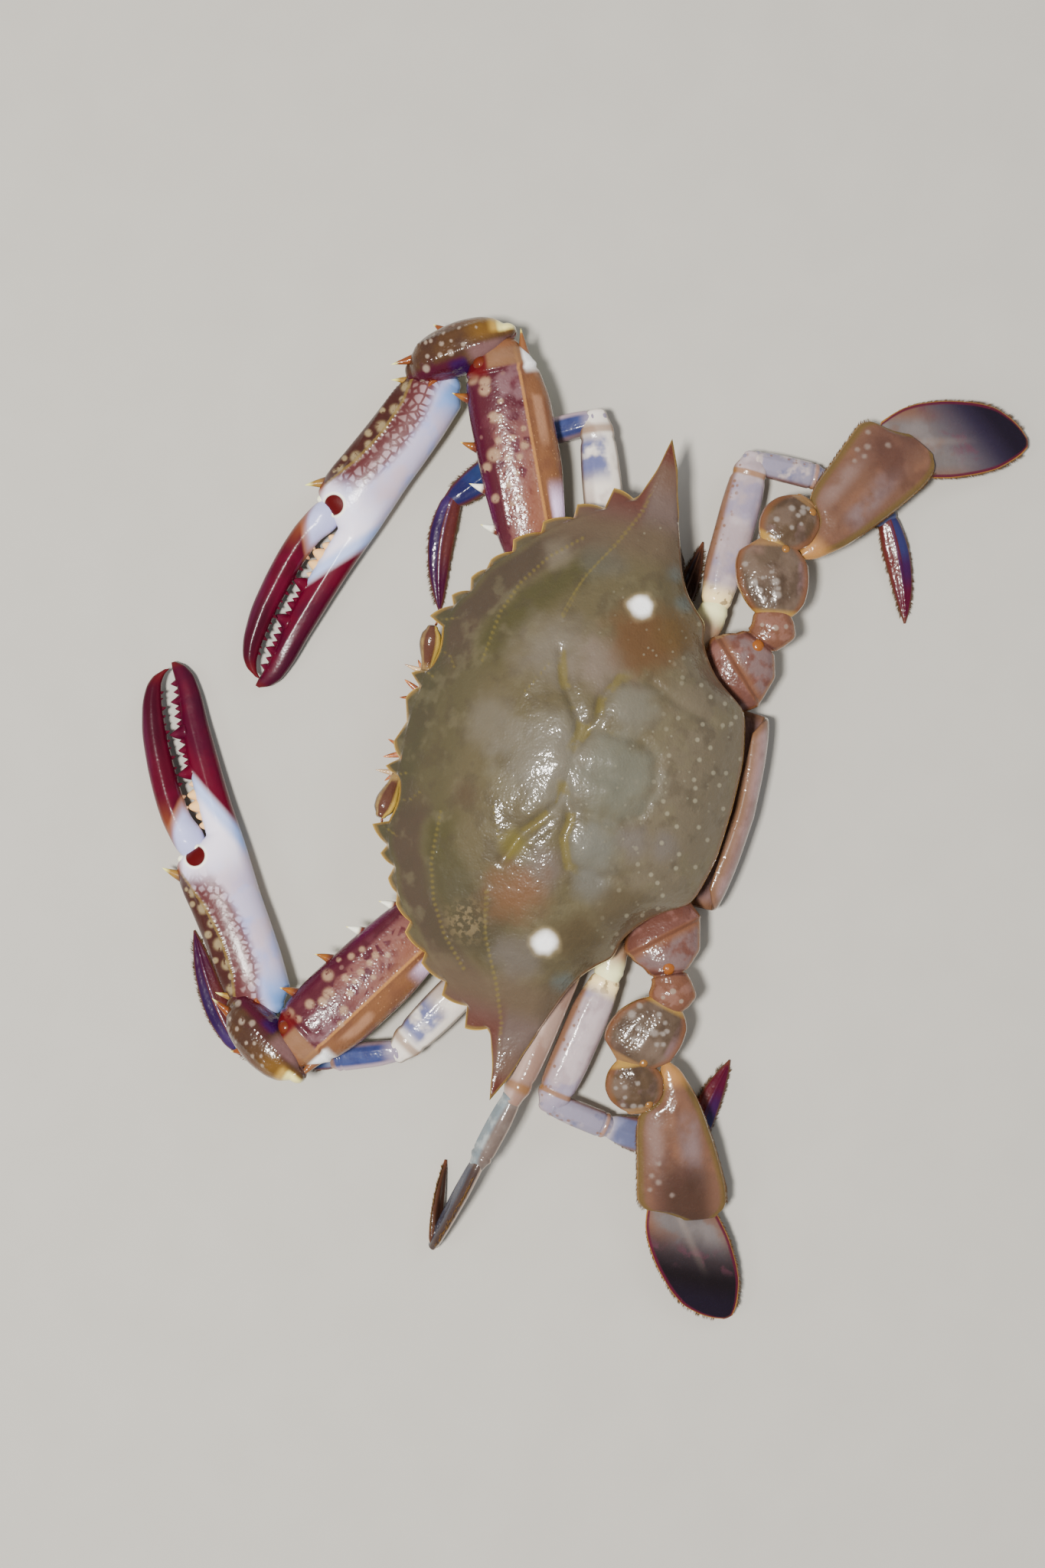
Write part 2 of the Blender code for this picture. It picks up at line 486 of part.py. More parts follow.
def abdomen_body():
    """The broad tail flap of a female, folded round the rear and flat under the breast."""
    path = np.array([(place, height) for place, height, _, _ in ABDOMEN])
    ahead = np.gradient(path, axis=0)
    ahead /= np.linalg.norm(ahead, axis=1)[:, None]
    normal = np.column_stack([-ahead[:, 1], ahead[:, 0]])
    angles = 2.0 * math.pi * np.arange(16) / 16.0
    rings = []
    for k, (place, height, half, depth) in enumerate(ABDOMEN):
        fullness = 1.5 if height < 2.0 else 1.1
        lift = depth * np.clip(fullness * np.sin(angles), -1.0, 1.0)
        arch = ABDOMEN_ARCH * np.sin(angles) ** 2 * min(1.0, max(0.0, (place - 34.0) / 6.0))
        rings.append(np.column_stack([half * np.cos(angles), place + arch + normal[k, 0] * lift,
                                      height + normal[k, 1] * lift]))
    points, faces = loft(rings)
    return settle(points), faces


def build_trunk():
    """Shield, underside and tail flap."""
    BODIES["carapace"] = carapace_body()
    BODIES["thorax"] = thorax_body()
    BODIES["abdomen"] = abdomen_body()
    BODIES["side_spine_left"] = side_spine(1.0)
    BODIES["side_spine_right"] = side_spine(-1.0)
    spines = [BODIES["side_spine_left"], BODIES["side_spine_right"]]
    build_part("carapace", "carapace_shell", BODIES["carapace"], spines)
    eye_spines = [spike(*mirrored(EYE_SPINE, side), EYE_SPINE_RADIUS) for side in SIDES.values()]
    build_part("thorax", "underside_shell", BODIES["thorax"], eye_spines)
    build_part("abdomen", "abdomen_shell", BODIES["abdomen"], (), ("thorax",))


def mirrored(ends, side):
    """The two ends of a left part, or those of its mirror image on the right."""
    return [(place[0] * side, place[1], place[2]) for place in ends]


def build_face(name, side):
    """Eye, antenna and outer mouthpart of one side."""
    eye = limb(*mirrored(EYE, side), EYE_TABLE, side, count=10)
    BODIES["eye_" + name] = eye
    build_part("eye_" + name, "eye_stalk", eye, (), ("thorax", "carapace"))
    antenna = limb(*mirrored(ANTENNA, side), ANTENNA_TABLE, side, count=6, bow=ANTENNA_BOW)
    BODIES["antenna_" + name] = antenna
    build_part("antenna_" + name, "antenna_shell", antenna, (), ("thorax", "eye_" + name))
    plate = limb(*mirrored(MOUTHPART, side), MOUTHPART_TABLE, side, count=10)
    build_part("maxilliped_" + name, "mouthpart_shell", plate, (),
               ("thorax", "antenna_" + name))


def edge_point(start, end, table, side, share, edge, inset=0.0):
    """A point on one edge of a limb part at a share of its length."""
    length, along, across, up = limb_frame(start, end, side)
    shares = [row[0] for row in table]
    low = np.interp(share, shares, [row[1] for row in table]) + inset
    high = np.interp(share, shares, [row[2] for row in table]) - inset
    sideways = low if edge == "low" else high
    return np.array(start) + along * length * share + across * sideways, along, across, up


def edge_spines(start, end, table, side, rows):
    """Spines that stand out from the edges of a limb part, one for each row."""
    spines = []
    for share, edge, inset, lean, reach, rise, radius in rows:
        place, along, across, up = edge_point(start, end, table, side, share, edge, inset)
        tip = place + across * reach + along * lean + up * rise
        spines.append(spike(place, tip, radius))
    return spines


def build_claw(name, side):
    """One cheliped, from its base to its two fingers."""
    joints = CLAW[name]
    BODIES["claw_base_" + name] = limb(joints[0], joints[1], CLAW_BASE, side, count=10)
    build_part("claw_base_" + name, "claw_base_shell", BODIES["claw_base_" + name], (), ("thorax",))
    upper_arm = (joints[1], joints[2], CLAW_MERUS, side)
    BODIES["claw_merus_" + name] = limb(*upper_arm, count=12)
    end_spine = edge_spines(*upper_arm, [MERUS_END_SPINE])
    BODIES["claw_merus_spine_" + name] = end_spine[0]
    build_part("claw_merus_" + name, "claw_merus_shell", BODIES["claw_merus_" + name],
               edge_spines(*upper_arm, MERUS_SPINES) + end_spine,
               ("claw_base_" + name, "thorax", "carapace"))
    wrist = (*ELBOW[name], CLAW_CARPUS, side)
    BODIES["claw_carpus_" + name] = limb(*wrist, count=12)
    inner_spine = edge_spines(*wrist, [CARPUS_INNER_SPINE])
    BODIES["claw_carpus_spine_" + name] = inner_spine[0]
    build_part("claw_carpus_" + name, "claw_carpus_shell", BODIES["claw_carpus_" + name],
               edge_spines(*wrist, CARPUS_SPINES) + inner_spine,
               ("claw_merus_" + name, "claw_merus_spine_" + name))
    build_chela(name, side)


def biting_teeth(start, end, table, side, edge, rows):
    """The teeth along the biting edge of a finger; each root is sunk well in."""
    away = 1.0 if edge == "high" else -1.0
    spines = [(share, edge, TOOTH_ROOT, TOOTH_LEAN, away * (height + TOOTH_ROOT), 0.0,
               1.0 + height * 0.42) for share, height in rows]
    return edge_spines(start, end, table, side, spines)


def build_chela(name, side):
    """Palm with the fixed finger, and the movable finger."""
    hand = (*PALM[name], CLAW_PALM, side)
    points, faces = limb(*hand, count=14, keel=0.03)
    BODIES["claw_palm_" + name] = (settle(points), faces)
    build_part("claw_palm_" + name, "claw_palm_shell", BODIES["claw_palm_" + name],
               edge_spines(*hand, PALM_SPINES) + biting_teeth(*hand, "high", PALM_TEETH),
               ("claw_carpus_" + name, "claw_carpus_spine_" + name))
    finger = (*FINGER[name], CLAW_FINGER, side)
    BODIES["claw_finger_" + name] = limb(*finger, count=12, keel=0.04)
    build_part("claw_finger_" + name, "claw_finger_shell", BODIES["claw_finger_" + name],
               biting_teeth(*finger, "low", FINGER_TEETH), ("claw_palm_" + name,))


def build_walking_leg(order, name, side):
    """One walking leg in five parts."""
    joints = WALKING[order, name]
    raised = order == "second" and name == "left"
    roll = {"merus": 60.0, "carpus": 60.0, "propodus": 80.0, "dactyl": 60.0} if raised else {}
    bow = {"dactyl": DACTYL_BOW[order, name]}
    inward_part = "thorax"
    parts = (("base", LEG_BASE, 0), ("merus", LEG_MERUS if order == "second" else WIDE_MERUS, 1),
             ("carpus", LEG_CARPUS, 2), ("propodus", LEG_PROPODUS, 3),
             ("dactyl", WIDE_DACTYL if order == "first" else LEG_DACTYL, 4))
    for kind, table, k in parts:
        label = "walking_leg_" + order + "_" + kind + "_" + name
        points, faces = limb(joints[k], joints[k + 1], table, side, count=8,
                             roll=roll.get(kind, 0.0), bow=bow.get(kind, 0.0))
        BODIES[label] = (settle(points), faces)
        around = [inward_part]
        if kind == "merus":
            around.append("thorax")
        build_part(label, "leg_" + kind + "_shell", BODIES[label], (), around)
        inward_part = label


def build_swimming_leg(name, side):
    """One swimming leg, from its wide base to the oval paddle."""
    joints = SWIMMING[name]
    paddle = PADDLE[name]
    parts = (("base", SWIM_BASE, joints[0], joints[1], 12, "swimming_base_shell"),
             ("merus", SWIM_MERUS, joints[1], joints[2], 12, "swimming_merus_shell"),
             ("carpus", SWIM_CARPUS, joints[2], SWIMMING_CARPUS_END[name], 12,
              "swimming_carpus_shell"),
             ("propodus", SWIM_PROPODUS, joints[3], joints[4], 12, "swimming_propodus_shell"),
             ("paddle", SWIM_PADDLE, paddle[0], paddle[1], 12, "swimming_paddle_shell"))
    nearer = ["thorax", "abdomen", "carapace", "walking_leg_third_base_" + name]
    for kind, table, start, end, count, slot in parts:
        label = "swimming_leg_" + kind + "_" + name
        BODIES[label] = limb(start, end, table, side, count=count)
        build_part(label, slot, BODIES[label], (), nearer)
        nearer = [label]


def main():
    """Build the whole crab."""
    clear_scene()
    build_trunk()
    for name, side in SIDES.items():
        build_face(name, side)
        build_claw(name, side)
        for order in ("first", "second", "third"):
            build_walking_leg(order, name, side)
        build_swimming_leg(name, side)


main()
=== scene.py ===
# %% [markdown]
# # A gazami crab at life size
#
# This notebook dresses a still model of a swimming crab as a natural history museum would
# show it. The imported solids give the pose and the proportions. Each shell plate is made again
# here as a fine, smooth surface in the same place, with its ridges, teeth, hairs and markings.

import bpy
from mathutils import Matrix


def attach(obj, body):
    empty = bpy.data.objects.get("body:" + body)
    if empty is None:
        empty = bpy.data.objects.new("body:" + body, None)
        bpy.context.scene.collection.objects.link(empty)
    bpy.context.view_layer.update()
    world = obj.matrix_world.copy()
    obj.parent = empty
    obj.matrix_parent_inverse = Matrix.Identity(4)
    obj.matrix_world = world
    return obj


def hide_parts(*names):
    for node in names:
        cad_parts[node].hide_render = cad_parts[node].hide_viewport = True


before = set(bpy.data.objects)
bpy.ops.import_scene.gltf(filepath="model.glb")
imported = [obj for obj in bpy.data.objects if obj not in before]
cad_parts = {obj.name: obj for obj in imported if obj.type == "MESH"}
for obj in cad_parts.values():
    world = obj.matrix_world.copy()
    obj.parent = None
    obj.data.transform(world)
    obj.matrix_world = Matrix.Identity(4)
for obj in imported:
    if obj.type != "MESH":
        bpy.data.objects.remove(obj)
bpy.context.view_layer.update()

# %% [markdown]
# Lengths are in millimetres until a mesh is written, because a crab is measured in them. The
# crab faces -Y with its back up, and its own left side is +X. A table row is read between its
# neighbours with a cubic that never swings past them, so a limb keeps the outline of its table.

# %% Numbers and curves
import math

import bpy
import numpy as np
from mathutils import Matrix

MM = 0.001
SIDES = {"left": 1.0, "right": -1.0}


def between(x, places, values):
    """Values read between table rows by a cubic. Its slope at a row is the harmonic mean of
    the slopes on the two sides, or zero where they have different signs."""
    places, values = np.asarray(places, float), np.asarray(values, float)
    step = np.diff(places)[:, None]
    rise = np.diff(values, axis=0) / step
    slope = np.vstack([rise[:1], np.zeros_like(rise[1:]), rise[-1:]])
    both = rise[:-1] * rise[1:]
    total = np.where(both > 0, rise[:-1] + rise[1:], 1.0)
    slope[1:-1] = np.where(both > 0, 2.0 * both / total, 0.0)
    row = np.clip(np.searchsorted(places, x) - 1, 0, len(step) - 1)
    t = ((np.asarray(x) - places[row]) / step[row, 0])[:, None]
    return ((1 + 2 * t) * (1 - t) ** 2 * values[row] + t * (1 - t) ** 2 * step[row] * slope[row]
            + t * t * (3 - 2 * t) * values[row + 1] - t * t * (1 - t) * step[row] * slope[row + 1])


def fade(x, low, high):
    """A soft step: 0 before low, 1 after high, 3t^2 - 2t^3 between."""
    t = np.clip((np.asarray(x, float) - low) / (high - low), 0.0, 1.0)
    return t * t * (3.0 - 2.0 * t)


def bezier(first, control, last, count):
    """Points of a curve pulled toward one control point, without its last point."""
    t = (np.arange(count) / count)[:, None]
    return (1 - t) ** 2 * np.array(first) + 2 * t * (1 - t) * np.array(control) + t * t * np.array(last)


def near_path(x, y, path):
    """Distance of points from a path of straight pieces, and how far along it they are."""
    best, along, done = np.full(np.shape(x), 1e9), np.zeros(np.shape(x)), 0.0
    for (ax, ay), (bx, by) in zip(path[:-1], path[1:]):
        run = math.hypot(bx - ax, by - ay)
        t = np.clip(((x - ax) * (bx - ax) + (y - ay) * (by - ay)) / run ** 2, 0.0, 1.0)
        off = np.hypot(x - ax - t * (bx - ax), y - ay - t * (by - ay))
        along = np.where(off < best, done + t * run, along)
        best = np.minimum(best, off)
        done += run
    return best, along


print("helpers ready")

# %% [markdown]
# Every shell is a closed skin: a grid of rings with one point at each end. The skin carries
# marks, which are numbers kept at its points, such as how far along the limb a point lies. The
# materials read the marks, so a coloured band follows its limb in any pose.

# %% Skins and finished pieces
def skin(rings, marks):
    """Closed skin over rings of points: neighbouring rings are joined by four-sided faces, and
    the two end rings are closed to their middles. Marks have one number for each ring point."""
    layers, count = rings.shape[:2]
    k, i = np.meshgrid(np.arange(layers - 1), np.arange(count), indexing="ij")
    j = (i + 1) % count
    quads = np.stack([k * count + i, k * count + j, (k + 1) * count + j, (k + 1) * count + i], -1)
    ends = np.array([rings[0].mean(axis=0), rings[-1].mean(axis=0)])
    points = np.vstack([rings.reshape(-1, 3), ends])
    around = np.arange(count)
    after = (around + 1) % count
    last = (layers - 1) * count
    first_fan = np.stack([after, around, np.full(count, layers * count)], -1)
    last_fan = np.stack([last + around, last + after, np.full(count, layers * count + 1)], -1)
    kept = {}
    for name, values in marks.items():
        values = np.broadcast_to(values, (layers, count))
        kept[name] = np.concatenate([values.ravel(), [values[0].mean(), values[-1].mean()]])
    quads = quads.reshape(-1, 4)
    first, second, third, fourth = (points[quads[:, corner]] for corner in range(4))
    volume = np.einsum("ij,ij->i", first, np.cross(second, third) + np.cross(third, fourth)).sum()
    if volume < 0:
        quads, first_fan, last_fan = quads[:, ::-1], first_fan[:, ::-1], last_fan[:, ::-1]
    return points, quads.tolist() + first_fan.tolist() + last_fan.tolist(), kept


def finished(name, skins, material, nodes=()):
    """One object made of closed skins. It rides on the body and stands for the nodes named."""
    offset, points, faces = 0, [], []
    for one, its_faces, _ in skins:
        points.append(one)
        faces += [[v + offset for v in face] for face in its_faces]
        offset += len(one)
    mesh = bpy.data.meshes.new(name)
    mesh.from_pydata((np.vstack(points) * MM).tolist(), [], faces)
    for mark in sorted({mark for _, _, marks in skins for mark in marks}):
        values = np.concatenate([marks.get(mark, np.zeros(len(one))) for one, _, marks in skins])
        layer = mesh.attributes.new(mark, "FLOAT", "POINT")
        layer.data.foreach_set("value", values.astype(np.float32))
    mesh.polygons.foreach_set("use_smooth", np.ones(len(mesh.polygons), bool))
    mesh.materials.append(material)
    mesh.update()
    piece = bpy.data.objects.new(name, mesh)
    bpy.context.scene.collection.objects.link(piece)
    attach(piece, "root")
    if nodes:
        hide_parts(*nodes)
    return piece


# %% [markdown]
# A shell colour is a ground with thin layers over it, as pigment lies in a crab's cuticle. Each
# layer has a colour, a strength and rules that say where it is: between two values of a mark
# or of an axis, in clouds, in round spots, in a net, as freckles, or as a patch with a wavering
# edge over a point of the floor plan. Pattern sizes are in millimetres. Water has an index of
# 1.33; under it the cuticle is only a little denser, so most of the gloss is the water's.

# %% Materials: one function to add a node, one for the rules, one for a wet shell
WATER_INDEX = 1.33
CUTICLE_INDEX = 1.2
GLOW_COLOUR = (1.0, 0.55, 0.35)
GLOW_DEPTH = 2.0
EDGE_WANDER = 5.0
DULL_PATCH = 6.0


def linear(code):
    """Linear colour of an sRGB hex code."""
    parts = [int(code[i:i + 2], 16) / 255.0 for i in (1, 3, 5)]
    return (*[c / 12.92 if c <= 0.04045 else ((c + 0.055) / 1.055) ** 2.4 for c in parts], 1.0)


def add(tree, kind, settings=None, links=None):
    """One node of a material, with its settings and the sockets that feed it."""
    node = tree.nodes.new(kind)
    for key, value in (settings or {}).items():
        if isinstance(key, str) and hasattr(node, key):
            setattr(node, key, value)
        else:
            node.inputs[key].default_value = value
    for key, socket in (links or {}).items():
        tree.links.new(socket, node.inputs[key])
    return node


def pattern(tree, place, rule):
    """The raw number of a rule at each point, and the two values it is read between. A rule
    begins with the name of a pattern, of an axis or of a mark."""
    kind, *rest = rule
    if kind == "clouds":
        size, low, high, seed = rest
        noise = add(tree, "ShaderNodeTexNoise", {"noise_dimensions": "4D", "W": seed, "Detail": 3.0,
                                                "Scale": 1.0 / (size * MM)}, {"Vector": place})
        return noise.outputs["Fac"], low, high
    if kind in ("spots", "net"):
        spacing, low, high, seed = rest
        cells = add(tree, "ShaderNodeTexVoronoi",
                    {"voronoi_dimensions": "4D", "W": seed, "Scale": 1.0 / (spacing * MM),
                     "feature": "F1" if kind == "spots" else "DISTANCE_TO_EDGE"}, {"Vector": place})
        return cells.outputs["Distance"], low, high
    if kind in ("over", "freckles"):
        flat = add(tree, "ShaderNodeVectorMath", {"operation": "MULTIPLY", 1: (1.0, 1.0, 0.0)},
                   {0: place}).outputs["Vector"]
        if kind == "freckles":
            spacing, low, high = rest
            cells = add(tree, "ShaderNodeTexVoronoi",
                        {"voronoi_dimensions": "2D", "Scale": 1.0 / (spacing * MM)}, {"Vector": flat})
            return cells.outputs["Distance"], low, high
        x, y, low, high = rest
        off = add(tree, "ShaderNodeVectorMath", {"operation": "DISTANCE", 1: (x * MM, y * MM, 0.0)},
                  {0: flat})
        wander = add(tree, "ShaderNodeTexNoise", {"Scale": 1.0 / (EDGE_WANDER * MM), "Detail": 1.5},
                     {"Vector": place})
        far = add(tree, "ShaderNodeMath", {"operation": "MULTIPLY_ADD", 1: 0.7 * low * MM},
                  {0: wander.outputs["Fac"], 2: off.outputs["Value"]})
        return far.outputs[0], 1.4 * low * MM, (0.6 * high + 0.35 * low) * MM
    low, high = rest
    if kind in ("X", "Y", "Z"):
        parts = add(tree, "ShaderNodeSeparateXYZ", None, {"Vector": place})
        return parts.outputs[kind], low * MM, high * MM
    return add(tree, "ShaderNodeAttribute", {"attribute_name": kind}).outputs["Fac"], low, high


def covering(tree, place, rules):
    """How strongly a layer shows at each point: its rules multiplied together, each 0 to 1."""
    result = None
    for rule in rules:
        value, low, high = pattern(tree, place, rule)
        ranged = add(tree, "ShaderNodeMapRange", {"interpolation_type": "SMOOTHSTEP", "From Min": low,
                                                 "From Max": high}, {"Value": value}).outputs["Result"]
        if result is not None:
            ranged = add(tree, "ShaderNodeMath", {"operation": "MULTIPLY"}, {0: result, 1: ranged}).outputs[0]
        result = ranged
    return result


def wet_shell(name, ground, layers, bumps=(), roughness=0.3, coat=1.0, glow=0.05, water=0.12):
    """Crab cuticle under a film of water: a Principled shader with layers of colour, a slightly
    uneven roughness, grains or pits as bump, and a clear coat for the water."""
    material = bpy.data.materials.new(name)
    material.use_nodes = True
    tree = material.node_tree
    shader = tree.nodes["Principled BSDF"]
    place = add(tree, "ShaderNodeTexCoord").outputs["Object"]
    colour = add(tree, "ShaderNodeRGB")
    colour.outputs[0].default_value = linear(ground)
    colour = colour.outputs[0]
    for code, strength, *rules in layers:
        share = add(tree, "ShaderNodeMath", {"operation": "MULTIPLY", 1: strength},
                    {0: covering(tree, place, rules)}).outputs[0]
        colour = add(tree, "ShaderNodeMix", {"data_type": "RGBA", 7: linear(code)},
                     {0: share, 6: colour}).outputs[2]
    tree.links.new(colour, shader.inputs["Base Color"])
    patches = add(tree, "ShaderNodeTexNoise", {"Scale": 1.0 / (DULL_PATCH * MM), "Detail": 4.0},
                  {"Vector": place})
    uneven = add(tree, "ShaderNodeMapRange", {"From Min": 0.3, "From Max": 0.7, "To Min": roughness - 0.07,
                                             "To Max": roughness + 0.12}, {"Value": patches.outputs["Fac"]})
    tree.links.new(uneven.outputs["Result"], shader.inputs["Roughness"])
    normal = None
    for depth, *rule in bumps:
        value, low, high = pattern(tree, place, rule)
        height = add(tree, "ShaderNodeMapRange", {"From Min": low, "From Max": high}, {"Value": value})
        links = {"Height": height.outputs["Result"]}
        if normal is not None:
            links["Normal"] = normal
        normal = add(tree, "ShaderNodeBump", {"Distance": depth * MM}, links).outputs["Normal"]
    if normal is not None:
        tree.links.new(normal, shader.inputs["Normal"])
        tree.links.new(normal, shader.inputs["Coat Normal"])
    gloss = {"IOR": CUTICLE_INDEX, "Coat Weight": coat, "Coat Roughness": water, "Coat IOR": WATER_INDEX,
             "Subsurface Weight": glow, "Subsurface Radius": GLOW_COLOUR,
             "Subsurface Scale": GLOW_DEPTH * MM}
    for socket, value in gloss.items():
        shader.inputs[socket].default_value = value
    return material


# %% [markdown]
# The camera stands straight over the crab, as in the photograph, and the crab lies on its side
# in the frame: its right claw is at the top. The floor is plain and pale. One broad soft light
# stands a little toward the claws, and two dim ones fill the shadows. Places of the camera are
# in millimetres, and its focal length is in pixels of a picture 2048 pixels high.

# %% Camera, floor and lights
CAMERA_PLACE = (7.6, -13.5, 620.0)
FOCAL_PIXELS = 3046.0
PICTURE_HEIGHT = 2048.0
SENSOR = 36.0
FLOOR_HALF = 0.8
FLOOR_DROP = -0.0001
IMAGE_RIGHT = (-0.2664, 0.9639, 0.0)
IMAGE_UP = (-0.9639, -0.2664, 0.0)


def stand(thing, right, up, back, place):
    """Place a thing by the directions of its own three axes."""
    turn = np.eye(4)
    turn[:3, :3] = np.column_stack([np.array(axis) / np.linalg.norm(axis) for axis in (right, up, back)])
    turn[:3, 3] = place
    thing.matrix_world = Matrix(turn.tolist())
    bpy.context.scene.collection.objects.link(thing)
    return thing


def stand_camera():
    """Camera whose own x and y axes are the image's right and up, seen from above."""
    lens = bpy.data.cameras.new("camera")
    lens.sensor_width = SENSOR
    lens.lens = FOCAL_PIXELS / PICTURE_HEIGHT * SENSOR
    lens.clip_start = 0.01
    camera = bpy.data.objects.new("camera", lens)
    stand(camera, IMAGE_RIGHT, IMAGE_UP, np.cross(IMAGE_RIGHT, IMAGE_UP), np.array(CAMERA_PLACE) * MM)
    bpy.context.scene.camera = camera
    return camera


def lay_floor():
    """A plain pale board, 1.6 m square, just under the crab."""
    corners = [(x * FLOOR_HALF, y * FLOOR_HALF, FLOOR_DROP) for x, y in ((-1, -1), (1, -1), (1, 1), (-1, 1))]
    mesh = bpy.data.meshes.new("floor")
    mesh.from_pydata(corners, [], [(0, 1, 2, 3)])
    floor = bpy.data.objects.new("floor", mesh)
    bpy.context.scene.collection.objects.link(floor)
    material = bpy.data.materials.new("pale_painted_board")
    material.use_nodes = True
    tree = material.node_tree
    shader = tree.nodes["Principled BSDF"]
    place = add(tree, "ShaderNodeTexCoord").outputs["Object"]
    noise = add(tree, "ShaderNodeTexNoise", {"Scale": 60.0, "Detail": 4.0}, {"Vector": place})
    tone = add(tree, "ShaderNodeMix", {"data_type": "RGBA", 6: linear("#a9a69f"), 7: linear("#b0ada6")},
               {0: noise.outputs["Fac"]})
    tree.links.new(tone.outputs[2], shader.inputs["Base Color"])
    shader.inputs["Roughness"].default_value = 0.85
    mesh.materials.append(material)
    return floor


def hang_light(name, place, size, power, colour, glossy=True):
    """A square soft light that looks at the crab. A fill light is not mirrored in the wet shell."""
    lamp = bpy.data.lights.new(name, "AREA")
    lamp.size = size
    lamp.energy = power
    lamp.color = colour
    light = bpy.data.objects.new(name, lamp)
    light.visible_glossy = glossy
    side = np.cross((0.0, 1.0, 0.0), place)
    return stand(light, side, np.cross(place, side), place, place)


stand_camera()
lay_floor()
hang_light("main_light", (0.18, -0.27, 1.17), 0.16, 30.0, (1.0, 0.965, 0.91))
hang_light("side_light", (-1.0, 0.5, 0.9), 0.6, 4.0, (0.92, 0.96, 1.0), glossy=False)
hang_light("front_light", (0.5, -1.0, 1.0), 0.4, 3.0, (1.0, 0.98, 0.95), glossy=False)
world = bpy.data.worlds.new("studio")
world.use_nodes = True
world.node_tree.nodes["Background"].inputs[0].default_value = (0.88, 0.9, 0.93, 1.0)
world.node_tree.nodes["Background"].inputs[1].default_value = 0.42
bpy.context.scene.world = world
print("camera at", [round(v, 3) for v in bpy.context.scene.camera.location])

# %% [markdown]
# The shield is the crab's name plate: a low dome, wider than long, with nine teeth along each
# front edge, and the ninth is a long spine. It could be sculpted, but its edge is exact, so the
# edge is drawn once without teeth and once with them. Rings between the two make the teeth and
# the spines, and rings drawn in from the plain edge make the back.

# %% The edge of the shield
RIM_HEIGHT = 18.8
BACK_HEIGHT = 39.5
SHOULDER_DROP = 3.0
MIDDLE_REACH = 28.0
MIDDLE_PLACE = -3.0
BODY_SPLIT = 17.0
BACK_RINGS = 62
TOOTHED_BANDS = 12
CROWN_PASSES = 24
REAR_EDGE = [(0.0, 40.4), (11.0, 40.0), (20.0, 38.4), (25.6, 36.4), (28.4, 32.8), (31.4, 28.4), (35.4, 24.7),
             (40.4, 21.8), (44.4, 20.9), (47.5, 17.8), (51.0, 14.6), (56.0, 11.8), (62.0, 9.5), (68.0, 7.4)]
SPINE_REAR = [(68.0, 7.4), (70.0, 6.9), (75.5, 5.0), (80.5, 3.6), (85.5, 1.4), (88.4, 0.0)]
SPINE_FRONT = [(88.4, 0.0), (85.5, -0.6), (80.5, -1.5), (75.5, -3.1), (72.0, -4.4), (70.9, -5.5)]
EDGE_TEETH = [((70.9, -5.5), (72.2, -11.1)), ((66.6, -12.1), (65.6, -19.1)), ((62.1, -19.1), (59.0, -26.4)),
              ((56.2, -26.2), (52.5, -32.6)), ((49.5, -32.0), (46.0, -36.8)), ((43.4, -37.3), (40.2, -40.5)),
              ((36.9, -39.8), (34.5, -44.1)), ((32.0, -43.0), (27.8, -48.1))]
EYE_SOCKET = [(26.0, -44.2), (20.5, -43.4), (15.0, -44.4)]
FRONT_TEETH = [((13.9, -45.6), (12.4, -48.8)), ((9.6, -45.8), (5.8, -48.5))]
FRONT_MIDDLE = (0.0, -46.6)


def drawn(corners, count):
    """Points evenly spread along a curve through its corners, without the last one."""
    corners = np.array(corners)
    run = np.concatenate([[0.0], np.cumsum(np.hypot(*np.diff(corners, axis=0).T))])
    return between(np.linspace(0.0, run[-1], count, endpoint=False), run, corners)


def tooth(notch, tip, after, count):
    """A tooth: a bulging outer side from its notch to the tip, and a hollow side back."""
    notch, tip, after = np.array(notch), np.array(tip), np.array(after)
    across = np.array([tip[1] - notch[1], notch[0] - tip[0]])
    outer = bezier(notch, notch * 0.45 + tip * 0.55 - across * 0.16, tip, count * 2 // 3)
    inner = bezier(tip, tip * 0.45 + after * 0.55 + across * 0.02, after, count - count * 2 // 3)
    return np.vstack([outer, inner])


def shield_edges():
    """The plain and the toothed edge of the left half, with the same number of points."""
    plain = [drawn(REAR_EDGE, 96)]
    toothed = [plain[0]]
    plain.append(bezier(REAR_EDGE[-1], (70.6, 3.0), EDGE_TEETH[0][0], 60))
    toothed += [drawn(SPINE_REAR, 34), drawn(SPINE_FRONT, 26)]
    after = [notch for notch, _ in EDGE_TEETH[1:]] + [EYE_SOCKET[0]]
    for (notch, tip), following in zip(EDGE_TEETH, after):
        plain.append(bezier(notch, (np.array(notch) + following) / 2.0, following, 21))
        toothed.append(tooth(notch, tip, following, 21))
    plain.append(drawn(EYE_SOCKET + [FRONT_TEETH[0][0]], 16))
    toothed.append(plain[-1])
    after = [FRONT_TEETH[1][0], FRONT_MIDDLE]
    for (notch, tip), following in zip(FRONT_TEETH, after):
        plain.append(bezier(notch, (np.array(notch) + following) / 2.0, following, 16))
        toothed.append(tooth(notch, tip, following, 16))
    plain.append(np.array([FRONT_MIDDLE]))
    toothed.append(np.array([FRONT_MIDDLE]))
    halves = [np.vstack(plain), np.vstack(toothed)]
    return [np.vstack([half, (half[1:-1] * (-1.0, 1.0))[::-1]]) for half in halves]


def evened(edges, reach):
    """Closed loops with details shorter than their reach, counted in points, faded out."""
    waves = np.fft.rfft(edges, axis=1)
    pitch = np.arange(waves.shape[1])[None, :, None] / edges.shape[1]
    return np.fft.irfft(waves * np.exp(-2.0 * (math.pi * pitch * np.array(reach)[:, None, None]) ** 2),
                        edges.shape[1], axis=1)


plain_edge, toothed_edge = shield_edges()
print("points round the shield:", len(plain_edge))

